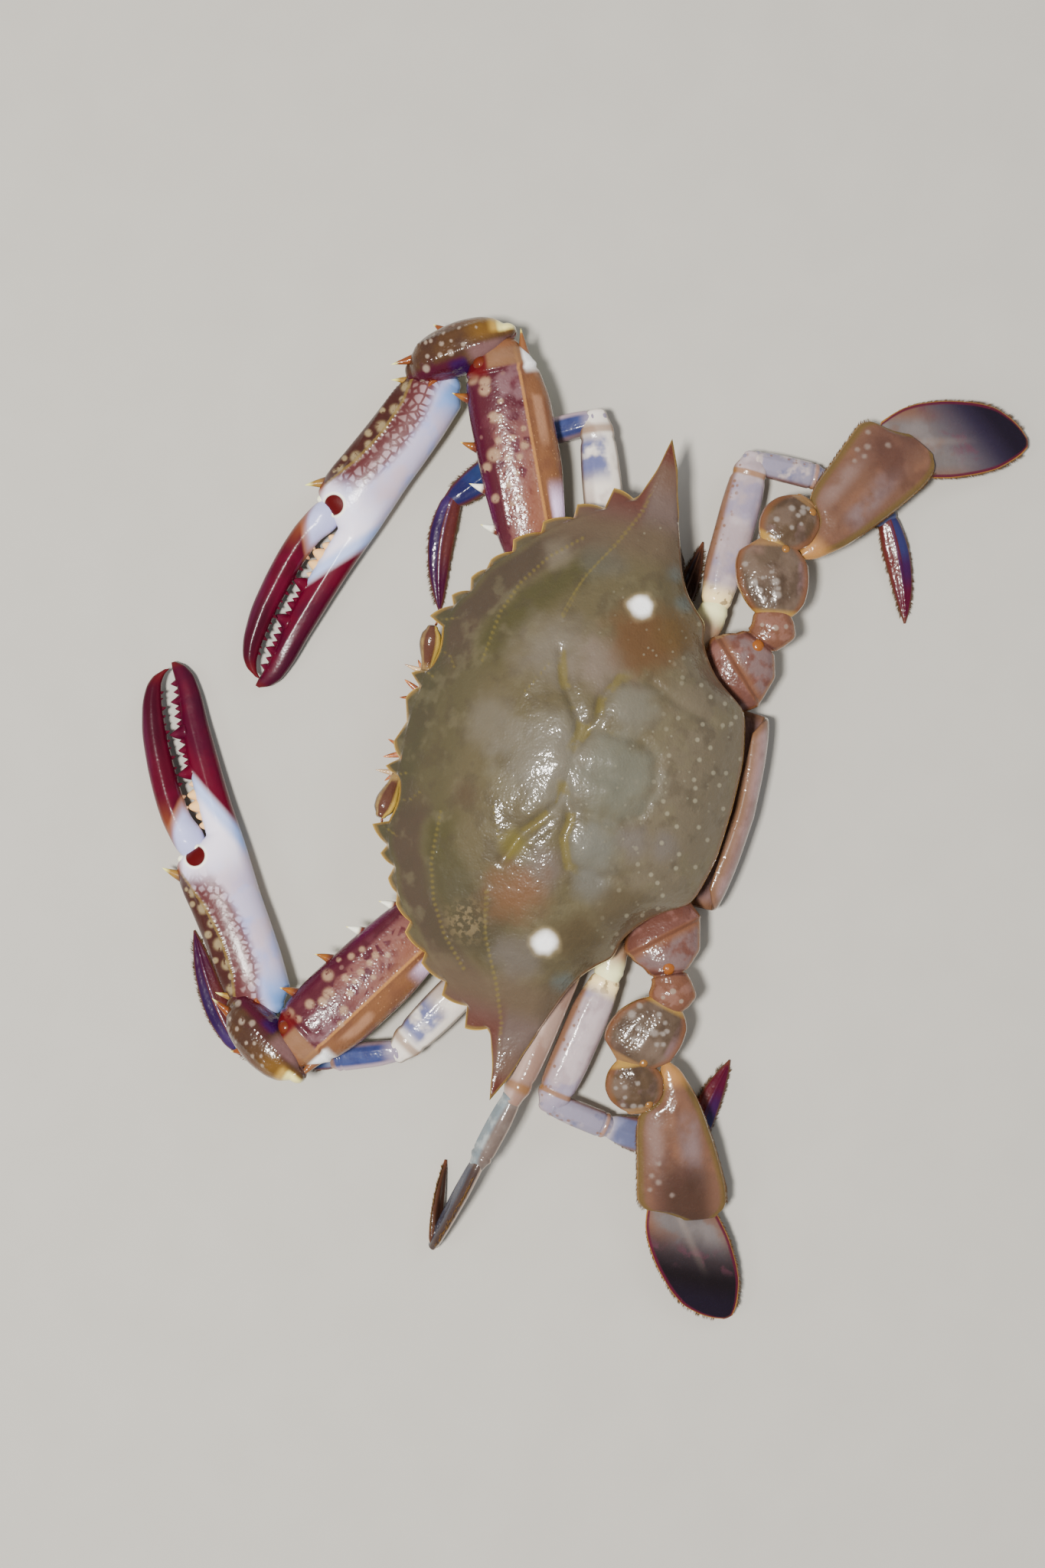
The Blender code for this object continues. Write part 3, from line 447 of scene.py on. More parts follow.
# %% [markdown]
# The back is not smooth. Organs and muscles lie under it in swollen regions with grooves
# between them, and rows of small beads run along the ridges. Each region is a soft hill, each
# groove a valley along a path, and each ridge a row of beads on a low wall. All of them are
# numbers in millimetres that are added to the height of the dome.

# %% Relief of the back
HILLS = [(0.0, -10.0, 13.0, 8.0, 0.9), (14.0, -21.0, 10.0, 7.0, 0.8), (36.0, -1.0, 15.0, 10.0, 0.9),
         (4.5, 6.5, 4.5, 6.0, 1.1), (3.2, 8.0, 1.5, 1.5, 0.4), (0.0, -5.0, 1.8, 1.8, 0.4),
         (18.5, 6.0, 4.5, 5.0, 1.0), (0.0, 27.0, 14.0, 8.0, 0.35), (48.0, 9.0, 12.0, 6.0, 0.4),
         (12.0, -9.0, 4.5, 4.0, 0.7), (44.0, -32.0, 16.0, 3.6, -0.6), (36.0, 20.0, 12.0, 7.0, 0.4)]
VALLEYS = [([(4.0, -4.0), (9.0, -2.5), (14.0, -6.0), (20.0, -10.5), (27.0, -13.0)], 1.0, 1.5),
           ([(9.0, -1.5), (13.0, 0.5), (18.0, 0.0), (24.5, 3.0), (25.5, 11.0), (22.0, 20.0),
             (20.0, 29.0)], 0.7, 1.4),
           ([(8.0, -2.5), (9.5, -2.0)], 0.9, 1.6),
           ([(10.5, 0.0), (11.0, 12.0), (8.0, 17.0), (0.0, 19.0)], 0.7, 1.5)]
RIDGES = [([(57.0, -15.5), (50.0, -22.5), (42.0, -27.5), (33.0, -30.6), (20.0, -31.6)], 0.42, 0.7),
          ([(86.0, -0.3), (78.0, -0.9), (68.0, -2.4), (58.0, -6.6), (47.0, -12.5), (36.0, -15.0)], 0.4,
           0.8), ([(15.0, -19.0), (19.5, -17.0), (24.0, -15.0)], 0.2, 0.45),
          ([(19.8, -43.0), (19.0, -40.0), (16.5, -38.2)], 0.5, 0.5),
          ([(13.5, -44.5), (12.6, -42.5)], 0.4, 0.5), ([(27.5, -45.0), (29.0, -41.0)], 0.4, 0.5)]
BEAD_STEP = 1.5


def relief(x, y):
    """Height added to the dome: hills, less valleys, plus beaded ridges, both sides alike."""
    added = np.zeros_like(x)
    ridge = np.zeros_like(x)
    groove = np.zeros_like(x)
    side = np.abs(x)
    for cx, cy, wide, long, high in HILLS:
        added += high * np.exp(-((side - cx) / wide) ** 2 - ((y - cy) / long) ** 2)
    for path, deep, wide in VALLEYS:
        off, _ = near_path(side, y, path)
        added -= deep * np.exp(-(off / wide) ** 2)
        groove = np.maximum(groove, np.exp(-(off / wide) ** 2))
    for path, high, wide in RIDGES:
        off, along = near_path(side, y, path)
        bead = 0.5 + 0.5 * np.cos(2.0 * math.pi * along / BEAD_STEP)
        wall = np.exp(-(off / wide) ** 2)
        added += high * wall * (0.45 + 0.55 * bead)
        ridge = np.maximum(ridge, wall * (0.35 + 0.65 * bead))
    return added, ridge, groove


def inward(edges, shares):
    """Edge loops drawn toward the middle line of the back, which closes to a point."""
    shares = np.array(shares)[:, None]
    reach = MIDDLE_REACH * np.minimum(1.0, shares / 0.7)
    sideways = np.clip(edges[..., 0] / MIDDLE_REACH, -1.0, 1.0) * reach
    middle = np.stack([sideways, np.full(edges.shape[:2], MIDDLE_PLACE)], -1)
    return middle + (edges - middle) * shares[..., None]


def dome(rings, shares):
    """Height of the back before its relief: a dome that falls steeply at the rear."""
    shares = np.array(shares)[:, None]
    rear = np.clip((rings[..., 1] - 2.0) / 24.0, 0.0, 1.0)
    rise = (1.0 - shares ** (2.0 + 0.5 * rear)) ** (0.95 - 0.2 * rear)
    drop = SHOULDER_DROP * (1.0 - shares) * (rings[..., 0] / MIDDLE_REACH) ** 2
    return RIM_HEIGHT + 1.2 + (BACK_HEIGHT - 0.7 - RIM_HEIGHT - 1.2) * rise - drop


def shield_skin():
    """Rings from the middle of the underface out to the edge, over it and in to the top. The
    height runs smoothly from the dome into the teeth and spines."""
    count = len(plain_edge)
    top_shares = np.concatenate([np.linspace(0.985, 0.1, BACK_RINGS), [0.06, 0.025]])
    smoothing = np.interp(top_shares, [0.1, 0.9, 0.985], [26.0, 5.0, 1.2])
    loops = np.broadcast_to(plain_edge, (len(top_shares), count, 2))
    top = inward(evened(loops, smoothing), top_shares)
    height = dome(top, top_shares)
    for _ in range(5):
        height[1:-1] = height[1:-1] * 0.5 + (height[:-2] + height[2:]) * 0.25
        beside = np.roll(height[1:], 2, axis=1) + np.roll(height[1:], -2, axis=1)
        height[1:] = height[1:] * 0.5 + beside * 0.25
    bands = np.linspace(1.0, 0.0, TOOTHED_BANDS + 1)[:-1]
    outer = top[0] + (toothed_edge - top[0]) * bands[:, None, None]
    rim = RIM_HEIGHT + 0.9 * fade(np.abs(toothed_edge[:, 0]), 60.0, 88.0)
    crown = np.vstack([rim + (height[0] - rim) * (1.0 - bands[:, None]) ** 0.8, height])
    for _ in range(CROWN_PASSES):
        crown[1:-1] = crown[1:-1] * 0.5 + (crown[:-2] + crown[2:]) * 0.25
    under_shares = np.array([0.97, 0.9, 0.6, 0.2])
    under = inward(np.broadcast_to(plain_edge, (4, count, 2)), under_shares)
    under_height = np.broadcast_to((BODY_SPLIT + 0.2 * (under_shares > 0.95))[:, None], (4, count))
    lower_shares = np.array([0.9, 0.7, 0.45, 0.2, 0.0])
    lower = under[0] + (toothed_edge - under[0]) * lower_shares[:, None, None]
    lower_height = rim - (rim - BODY_SPLIT - 0.2) * (1.0 - lower_shares[:, None] ** 2.0)
    plan = np.vstack([under[::-1], lower[::-1][1:], outer, top])
    heights = np.vstack([under_height[::-1], lower_height[::-1][1:], crown])
    below = len(under) + len(lower) - 1
    is_top = np.concatenate([np.zeros(below), np.linspace(0.0, 1.0, TOOTHED_BANDS),
                             np.ones(len(top_shares))])[:, None]
    is_back = (np.arange(len(plan)) >= below + TOOTHED_BANDS)[:, None]
    added, ridge, groove = relief(plan[..., 0], plan[..., 1])
    heights = heights + added * is_top
    away = np.hypot(plan[..., 0] - plain_edge[:, 0], plan[..., 1] - plain_edge[:, 1]) * is_back
    lip = np.abs(plan - toothed_edge).sum(-1) * 0.8 + away
    marks = {"lip": lip, "ridge": ridge * is_top, "groove": groove * is_top, "away": away,
             "upper": np.broadcast_to(is_top, ridge.shape), "wide": np.abs(plan[..., 0]),
             "spine": fade(np.abs(plan[..., 0]), 44.0, 88.0)}
    return skin(np.dstack([plan, heights]), marks)


# %% [markdown]
# The shell of a living gazami crab is olive brown under a film of sea water, greyer and lilac
# over the middle, darker along the front, with rust-red spine tips, two clear white spots and
# pale freckles toward the rear. The pits that the photograph shows are about half a millimetre
# apart; they are drawn a little coarser so that they show.

# %% Finish of the shield
BLOTCHES = [(44.0, -15.0, 14.0, 7.0, "#3e3728", 0.9), (36.0, -25.0, 9.0, 4.0, "#413c2b", 0.8),
            (0.0, -7.0, 18.0, 7.0, "#676258", 0.7), (0.0, 9.0, 14.0, 7.0, "#5d5c51", 0.85),
            (-27.0, -15.0, 13.0, 3.0, "#675f56", 0.6), (-27.0, -3.0, 10.0, 4.0, "#665a50", 0.85),
            (-5.0, -25.0, 10.0, 4.0, "#5f584c", 0.7), (14.0, -26.5, 5.0, 1.5, "#463a2b", 0.8),
            (18.0, 8.0, 9.0, 4.0, "#616059", 0.75), (-18.0, 8.0, 9.0, 4.0, "#635f55", 0.75),
            (27.0, 10.0, 7.0, 3.0, "#5a5750", 0.8), (27.0, -3.0, 8.0, 3.0, "#574c45", 0.85),
            (34.5, -8.0, 11.0, 4.0, "#5d422c", 0.95), (-35.5, 6.5, 13.0, 6.0, "#523a24", 0.92),
            (-40.0, 14.0, 8.0, 3.0, "#523f25", 0.85), (51.0, -3.0, 9.0, 4.0, "#554e47", 0.85),
            (-53.0, -9.0, 8.0, 3.0, "#4e4a41", 0.7), (-52.0, -20.0, 6.0, 2.0, "#645b4d", 0.8),
            (41.0, 11.0, 9.0, 4.0, "#433826", 0.8), (31.0, 19.0, 9.0, 4.0, "#473d2c", 0.8),
            (14.0, 17.0, 6.0, 2.0, "#5b544f", 0.75), (13.5, 25.0, 5.5, 2.0, "#5b544f", 0.7),
            (-55.0, 10.0, 4.0, 1.0, "#505957", 0.75), (-48.0, 14.0, 3.5, 1.0, "#505957", 0.7),
            (54.0, 10.0, 4.0, 1.0, "#505957", 0.75)]
CARAPACE_SHELL = wet_shell(
    "olive_wet_cuticle", "#4f4733",
    [("#46402d", 0.9, ("Y", -26.0, -36.0)),
     ("#3c3828", 0.85, ("Y", -38.0, -43.0)),
     ("#5c5345", 0.8, ("Y", 8.0, 24.0)),
     ("#3e3a23", 0.85, ("away", 21.0, 15.0), ("away", 9.0, 12.0), ("wide", 14.0, 26.0), ("Y", -3.0, -9.0)),
     ("#40342b", 0.85, ("away", 10.0, 7.5), ("away", 0.5, 2.5), ("wide", 12.0, 24.0), ("Y", -5.0, -12.0)),
     ("#3d3529", 0.4, ("clouds", 5.0, 0.48, 0.64, 1.0)),
     ("#5d5641", 0.4, ("clouds", 6.0, 0.52, 0.64, 5.0))]
    + [(code, strength, ("over", x, y, outer, inner)) for x, y, outer, inner, code, strength in BLOTCHES]
    + [("#534537", 0.85, ("spine", 0.05, 0.3)),
     ("#584945", 0.8, ("spine", 0.35, 0.6)),
     ("#553f33", 0.8, ("spine", 0.65, 0.9)),
     ("#4d241a", 0.8, ("spine", 0.3, 0.7), ("Y", -0.5, -3.5)),
     ("#61562c", 0.7, ("groove", 0.25, 0.8), ("clouds", 4.5, 0.44, 0.58, 8.0), ("Y", 8.0, 1.0)),
     ("#615829", 0.65, ("over", 22.5, -11.5, 5.0, 1.5)),
     ("#685c2b", 0.5, ("ridge", 0.3, 0.9)),
     ("#817b68", 0.75, ("freckles", 5.6, 0.14, 0.06), ("Y", 10.0, 27.0), ("upper", 0.5, 1.0)),
     ("#767160", 0.5, ("freckles", 4.1, 0.1, 0.05), ("clouds", 14.0, 0.5, 0.62, 9.0), ("Y", -14.0, 2.0),
      ("upper", 0.5, 1.0)),
     ("#685a41", 0.75, ("over", 45.0, -18.5, 7.0, 3.0), ("clouds", 1.6, 0.46, 0.56, 3.0)),
     ("#481911", 0.85, ("spine", 0.9, 1.0)),
     ("#b8a681", 0.7, ("over", -43.5, 3.5, 4.6, 2.0)),
     ("#f7f7f7", 1.0, ("over", -43.5, 3.5, 3.6, 2.4)),
     ("#b8a681", 0.7, ("over", 45.0, 2.5, 4.6, 2.0)),
     ("#f7f7f7", 1.0, ("over", 45.0, 2.5, 3.6, 2.4)),
     ("#715a30", 0.9, ("lip", 1.5, 0.5)),
     ("#c0983d", 0.85, ("lip", 0.45, 0.1)),
     ("#5d3d23", 0.6, ("lip", 2.6, 1.6), ("lip", 0.8, 1.5), ("Y", 4.0, 12.0))],
    bumps=[(0.05, "spots", 0.75, 0.0, 0.6, 1.0), (0.25, "clouds", 5.0, 0.3, 0.7, 11.0)],
    roughness=0.36, water=0.1)

finished("shield", [shield_skin()], CARAPACE_SHELL, ["carapace"])
print("shield done")

# %% [markdown]
# Each limb part is a tube with closed, rounded ends. A table gives its two edges and its half
# depth along its length, so the same table serves both sides of the crab. One function finds a
# point of that tube from a share of the length and an angle round it: skins, spines, beads
# and hairs all ask it where they sit. No point goes lower than a hair's breadth over the floor.

# %% The tube behind every limb part
FRONT, REAR = math.pi, 0.0
FLOOR_GAP = 0.02


def limb_part(start, end, table, side, roll=0.0, bow=0.0, square=1.0):
    """A limb part: its axes along, across and up, its table and the squareness of its section."""
    start = np.array(start, float)
    along = np.array(end, float) - start
    length = float(np.linalg.norm(along))
    along /= length
    across = np.array([-along[1], along[0], 0.0]) * side / math.hypot(along[0], along[1])
    up = np.cross(along, across) * side
    turn = math.radians(roll)
    across, up = across * math.cos(turn) + up * math.sin(turn), up * math.cos(turn) - across * math.sin(turn)
    table = np.array(table, float)
    return {"start": start, "length": length, "along": along, "across": across, "up": up, "side": side,
            "table": table, "bow": bow, "square": square, "caps": 0.75 * table[[0, -1], 3] / length}


def section(part, share):
    """Middle, half width and half depth at a share of the length. Past the last table rows the
    section shrinks like the end of an ellipse."""
    share = np.asarray(share, float)
    table = part["table"]
    first, last = table[0, 0], table[-1, 0]
    past = np.clip(np.maximum((first - share) / part["caps"][0], (share - last) / part["caps"][1]), 0.0, 1.0)
    shrink = np.sqrt(1.0 - past ** 2)
    rows = between(np.clip(share, first, last).ravel(), table[:, 0], table[:, 1:])
    low, high, depth = rows.T.reshape(3, *share.shape)
    return (low + high) / 2.0, (high - low) / 2.0 * shrink, depth * shrink


def limb_at(part, share, angle, out=0.0):
    """Points of a part: start + share * length * along + (middle + half * cos angle) * across
    + depth * sin angle * up, moved out by some millimetres and bent by the part's bow."""
    share, angle, out = np.broadcast_arrays(np.asarray(share, float), angle, out)
    middle, half, depth = section(part, share)
    cos, sin = np.cos(angle), np.sin(angle)
    sideways = middle + 4.0 * part["bow"] * share * (1.0 - share) + (half + out) * cos
    upward = (depth + out) * np.sign(sin) * np.abs(sin) ** part["square"]
    return (part["start"] + share[..., None] * part["length"] * part["along"]
            + sideways[..., None] * part["across"] + upward[..., None] * part["up"])


def dotted(part, share, side, dots):
    """A mark that is 1 at the middle of each listed dot and fades over its radius. Dots are
    listed by share of the length, millimetres across and radius."""
    mark = np.zeros(np.broadcast(share, side).shape)
    for at, across, radius in dots:
        off = ((share - at) * part["length"]) ** 2 + (side - across) ** 2
        mark = np.maximum(mark, np.exp(-off / radius ** 2))
    return mark


def limb_skin(part, rows=70, around=48, shape=None, dots=(), extra=None):
    """Skin of a part. Its marks say how far along, across and up each point is, how many
    millimetres across, how near the outline, and where its dots are. The shape adds
    millimetres outward; extra marks come from the share, the angle and the millimetres across."""
    first, last = part["table"][0, 0] - part["caps"][0], part["table"][-1, 0] + part["caps"][1]
    sweep = np.linspace(-1.0, 1.0, rows)
    sweep = (0.72 * sweep + 0.28 * np.sin(sweep * math.pi / 2.0)) / 2.0 + 0.5
    share = (first + sweep * (last - first))[1:-1, None]
    angle = 2.0 * math.pi * np.arange(around)[None, :] / around
    middle, half, _ = section(part, share)
    side = middle + half * np.cos(angle)
    added = 0.0 if shape is None else shape(share, angle, side)
    rings = limb_at(part, share, angle, added)
    rings[..., 2] = np.maximum(rings[..., 2], FLOOR_GAP)
    marks = {"along": share, "across": np.cos(angle), "upward": np.sin(angle), "side": side,
             "rim": half * (1.0 - np.abs(np.cos(angle))),
             "dots": dotted(part, share, side, dots) * fade(np.sin(angle), -0.1, 0.1)}
    for name, rule in (extra or {}).items():
        marks[name] = rule(share, angle, side)
    return skin(rings, marks)


def spine_skin(root, tip, radius, power=1.0, bend=(0.0, 0.0, 0.0), marks=None):
    """A spine or tooth. At a share s of the way from its root to its tip the radius is
    radius * (1 - s) ** power, and its line is bent by 4 s (1 - s) times the bend."""
    root, tip, bend = np.array(root, float), np.array(tip, float), np.array(bend, float)
    s = np.sin(np.linspace(0.0, 0.985, 10) * math.pi / 2.0)[:, None, None]
    angle = 2.0 * math.pi * np.arange(14)[None, :, None] / 14
    along = (tip - root) / np.linalg.norm(tip - root)
    across = np.cross((0.0, 0.0, 1.0) if abs(along[2]) < 0.9 else (1.0, 0.0, 0.0), along)
    across /= np.linalg.norm(across)
    wide = radius * (1.0 - s) ** power
    middle = root + (tip - root) * s + bend * 4.0 * s * (1.0 - s)
    rings = middle + wide * (np.cos(angle) * across + np.sin(angle) * np.cross(along, across))
    rings[..., 2] = np.maximum(rings[..., 2], FLOOR_GAP)
    return skin(rings, {"tip": s[..., 0], **(marks or {})})


def ball_skin(middle, radii, marks):
    """An ellipsoid: middle + radii times the directions of a globe's grid."""
    lift = np.linspace(-1.0, 1.0, 15)[1:-1, None] * math.pi / 2.0
    angle = 2.0 * math.pi * np.arange(20)[None, :] / 20
    ways = np.stack([np.cos(lift) * np.cos(angle), np.cos(lift) * np.sin(angle),
                     np.sin(lift) + 0.0 * angle], -1)
    return skin(np.array(middle) + ways * np.array(radii), marks)


def spine_on(part, share, angle, sink, lean, reach, rise, radius, power=0.9, **marks):
    """A spine with its root sunk into a part; its tip leans along it, stands out and rises."""
    root = limb_at(part, share, angle, -sink)
    out = part["across"] * math.cos(angle) + part["up"] * math.sin(angle)
    tip = root + out * reach + part["along"] * lean + part["up"] * rise
    middle, half, _ = section(part, share)
    marks = {"along": share, "across": math.cos(angle), "upward": 0.3, "rim": 9.0, "keel": 9.0,
             "side": float(middle + half * math.cos(angle)), "spike": 1.0, **marks}
    bend = -0.05 * np.linalg.norm(tip - root) * part["along"]
    return spine_skin(root, tip, radius, power, bend, marks=marks)


def wall(x, middle, wide):
    """A ridge's cross-section: 1 at its middle, fading within its width."""
    return np.exp(-((x - middle) / wide) ** 2)


def beads(share, length, step):
    """Beads along a part, one for each step: from 0 between them to 1 on them."""
    return 0.5 + 0.5 * np.cos(2.0 * math.pi * share * length / step)


def fringe(part, angle, first, last, count, length, seed, lean=0.5):
    """Hairs along one edge of a part: three-sided needles that lean toward the limb's tip, each
    a triangle at the root, a thinner one at two thirds of its length, and a point."""
    random = np.random.default_rng(seed)
    share = np.sort(random.uniform(first, last, count))
    turn = angle + random.normal(0.0, 0.12, count)
    root = limb_at(part, share, turn, -0.3)
    out = np.cos(turn)[:, None] * part["across"] + np.sin(turn)[:, None] * part["up"] * 0.4
    way = out + part["along"] * (lean + random.normal(0.0, 0.16, count))[:, None]
    way += random.normal(0.0, 0.08, (count, 3))
    way *= (length * random.uniform(0.7, 1.15, count) / np.linalg.norm(way, axis=1))[:, None]
    corner = 2.0 * math.pi * np.arange(3)[:, None] / 3.0
    ring = np.cos(corner) * part["up"] + np.sin(corner) * part["along"]
    bent = root + way * 0.66 + part["along"] * 0.1
    point = root + way + part["along"] * 0.3
    points = np.concatenate([root[:, None] + ring * 0.12, bent[:, None] + ring * 0.08, point[:, None]],
                            axis=1)
    points[..., 2] = np.maximum(points[..., 2], FLOOR_GAP)
    one = [[0, 1, 4, 3], [1, 2, 5, 4], [2, 0, 3, 5], [3, 4, 6], [4, 5, 6], [5, 3, 6], [2, 1, 0]]
    if np.linalg.det(np.stack([ring[0], ring[1], out[0]])) < 0.0:
        one = [face[::-1] for face in one]
    faces = [[v + 7 * k for v in face] for k in range(count) for face in one]
    return points.reshape(-1, 3), faces, {"tip": np.tile([0, 0, 0, 0.6, 0.6, 0.6, 1.0], count)}


print("limb helpers ready")

# %% [markdown]
# The claws are the crab's most colourful parts. The upper arm is crimson in front with cream
# blotches, tan behind a beaded line, and has four curved spines. The wrist is olive with white
# dots. The hand is white and lilac with a netted brown outer strip, and the fingers are wine
# red, cream where they meet the hand.

# %% Tables and places of the claws
CLAW = {"left": [(22.0, -17.5, 9.5), (39.0, -21.1, 11.0), (89.9, -52.2, 14.0)],
        "right": [(-22.0, -17.5, 9.5), (-44.4, -22.4, 11.0), (-99.3, -48.9, 14.0)]}
ELBOW = {"left": [(90.5, -51.2, 14.0), (82.7, -66.5, 10.5)],
         "right": [(-98.9, -49.7, 14.0), (-89.2, -65.5, 10.5)]}
PALM = {"left": [(80.5, -63.0, 7.9), (1.3, -111.5, 1.9)],
        "right": [(-87.5, -61.5, 7.9), (1.3, -88.4, 1.9)]}
FINGER = {"left": [(48.2, -92.8, 5.3), (3.3, -112.0, 4.0)],
          "right": [(-49.6, -82.0, 5.3), (-0.8, -88.2, 4.0)]}
CLAW_BASE = [(0.0, -5.0, 4.6, 4.4), (0.35, -5.6, 5.2, 4.8), (0.75, -5.4, 5.2, 4.9), (1.0, -4.6, 4.6, 4.4),
             (1.12, -3.0, 3.0, 3.0)]
CLAW_MERUS = [(-0.05, -4.0, 4.0, 3.6), (0.04, -6.4, 5.8, 4.9), (0.14, -8.4, 7.6, 5.5),
              (0.32, -10.2, 9.3, 6.3), (0.52, -10.9, 10.5, 6.8), (0.72, -11.1, 10.5, 6.9),
              (0.86, -10.6, 9.4, 6.6), (0.95, -9.0, 7.6, 5.8), (1.01, -6.2, 5.0, 4.2)]
CLAW_CARPUS = [(-0.2, 1.6, 6.4, 3.6), (-0.06, -0.8, 8.8, 5.4), (0.15, -2.4, 10.2, 6.5),
               (0.42, -3.0, 10.7, 6.9), (0.7, -3.2, 10.2, 6.8), (0.95, -3.2, 9.0, 6.0),
               (1.12, -2.8, 6.8, 4.6), (1.22, -1.2, 4.4, 2.6)]
CLAW_PALM = [(-0.015, -4.4, 5.6, 4.0), (0.03, -7.0, 9.2, 5.6), (0.1, -7.0, 10.4, 6.3), (0.2, -6.6, 11.4, 6.6),
             (0.3, -6.0, 12.6, 6.6), (0.39, -5.8, 13.7, 6.3), (0.435, -5.7, 13.2, 5.8),
             (0.46, -5.6, 10.8, 5.2), (0.48, -5.5, 6.4, 4.7), (0.5, -5.4, 3.5, 4.3), (0.6, -5.0, 3.5, 3.8),
             (0.7, -4.9, 3.1, 3.5), (0.8, -4.9, 2.3, 3.0), (0.88, -5.1, 1.2, 2.5), (0.94, -4.7, 0.5, 1.9),
             (0.98, -3.1, 0.5, 1.1), (1.0, -0.9, 0.3, 0.4)]
CLAW_FINGER = [(-0.02, -3.2, 2.2, 3.0), (0.03, -4.2, 3.8, 4.0), (0.1, -3.6, 5.2, 4.2), (0.2, -1.0, 6.7, 3.9),
               (0.36, 0.8, 8.0, 3.6), (0.5, 1.7, 8.6, 3.3), (0.64, 2.4, 8.8, 3.0), (0.8, 2.6, 8.0, 2.5),
               (0.91, 2.2, 6.3, 1.9), (0.97, 1.0, 4.0, 1.1), (1.0, -0.6, 0.9, 0.4)]

# %% [markdown]
# Blotches and dots are listed one by one: share of the length, millimetres across, radius. A real
# crab's two claws are not alike, so each side has its own list.

# %% Dots of the claws
MERUS_DOTS = {
    "right": [(0.385, -8.2, 1.2), (0.52, -9.0, 1.3), (0.565, -6.6, 1.9), (0.72, -5.0, 1.5), (0.71, -3.6, 1.3),
              (0.84, -6.0, 1.6), (0.875, -5.6, 1.6), (0.9, -8.6, 1.7), (0.62, -4.8, 1.0), (0.58, 1.6, 1.2),
              (0.35, -4.0, 0.9), (0.37, -2.2, 0.8), (0.43, -4.2, 1.0), (0.54, -3.2, 1.0), (0.535, -0.2, 0.9),
              (0.62, -1.2, 0.9), (0.47, -1.6, 0.8), (0.78, -2.5, 0.8), (0.65, 2.0, 0.8)],
    "left": [(0.67, -8.2, 1.6), (0.54, -7.6, 1.0), (0.485, -7.0, 0.9), (0.59, -9.2, 0.7), (0.81, -6.0, 1.3),
             (0.905, -7.8, 1.5), (0.72, -4.6, 1.6), (0.76, -4.2, 1.3), (0.89, -5.2, 1.0), (0.62, -4.6, 1.1),
             (0.72, 1.2, 1.3), (0.77, 3.2, 0.9), (1.0, 2.0, 0.8), (0.46, -3.6, 1.0), (0.5, -3.2, 0.9),
             (0.555, -3.0, 1.0), (0.6, -2.2, 0.9), (0.65, -1.0, 1.0), (0.42, -1.5, 0.8), (0.53, 0.2, 0.8)]}
CARPUS_DOTS = {
    "right": [(0.57, 2.3, 0.94), (0.72, 2.6, 0.77), (0.97, 0.6, 1.1), (1.1, -2.2, 0.85), (0.37, 3.3, 0.68),
              (0.66, 5.3, 0.77), (0.8, 6.9, 0.59), (0.27, 8.0, 0.51), (0.37, 7.8, 0.59), (0.45, 9.3, 0.51),
              (0.6, 7.8, 0.59), (0.75, 8.6, 0.51), (0.88, 7.0, 0.59), (0.9, 3.4, 0.68), (0.14, 6.6, 0.42),
              (0.52, 5.2, 0.51)],
    "left": [(0.73, 1.7, 0.94), (0.87, 3.3, 1.02), (1.12, 0.9, 1.02), (0.85, 5.6, 0.68), (0.2, 7.8, 0.59),
             (0.4, 7.8, 0.68), (0.75, 8.6, 0.59), (0.97, 7.5, 0.77), (0.6, 6.4, 0.59), (1.05, 5.3, 0.68),
             (0.5, 5.0, 0.59), (0.3, 6.2, 0.51)]}
PALM_DOTS = [(0.06, 7.8, 1.4), (0.095, 6.7, 0.9), (0.13, 7.0, 1.5), (0.19, 7.4, 1.7), (0.225, 9.6, 1.0),
             (0.252, 7.9, 1.2), (0.3, 9.0, 1.6), (0.35, 10.9, 1.2), (0.15, 9.6, 0.8), (0.32, 11.6, 0.8),
             (0.365, 12.2, 0.6)]
KEEL_LINE = [(0.02, 7.6), (0.1, 6.0), (0.2, 6.3), (0.26, 7.3), (0.32, 8.7), (0.38, 10.8), (0.44, 13.0)]
HINGE_SPOT = (0.447, 7.2)


def past_keel(share, angle, side):
    """Millimetres outward from the beaded keel of the hand."""
    return side - np.interp(share, *np.array(KEEL_LINE).T)


def palm_tide(share, angle, side):
    """How far past the slanting line where the fixed finger turns crimson."""
    return share - 0.615 - 0.022 * side


def finger_tide(share, angle, side):
    """How far past the slanting line where the movable finger turns crimson."""
    return share - 0.29 + 0.035 * np.maximum(side - 0.5, 0.0)


def hinge_spot(share, angle, side):
    """1 in the middle of the crimson spot beside the hinge of the movable finger."""
    off = ((share - HINGE_SPOT[0]) * 93.0) ** 2 + (side - HINGE_SPOT[1]) ** 2
    return np.exp(-off / 2.6 ** 2) * (np.sin(angle) > 0.0)


# %% [markdown]
# The teeth of the two fingers stand in a row like a saw with uneven points: every third or
# fourth is large. Near the hand of the fixed finger they are blunt and cream, as molars are. A
# tooth has a share of the length, a height and a power that makes it blunt or sharp. A spine of
# the arm has a share and 1 where its tip is white; the others list what spine_on asks for.

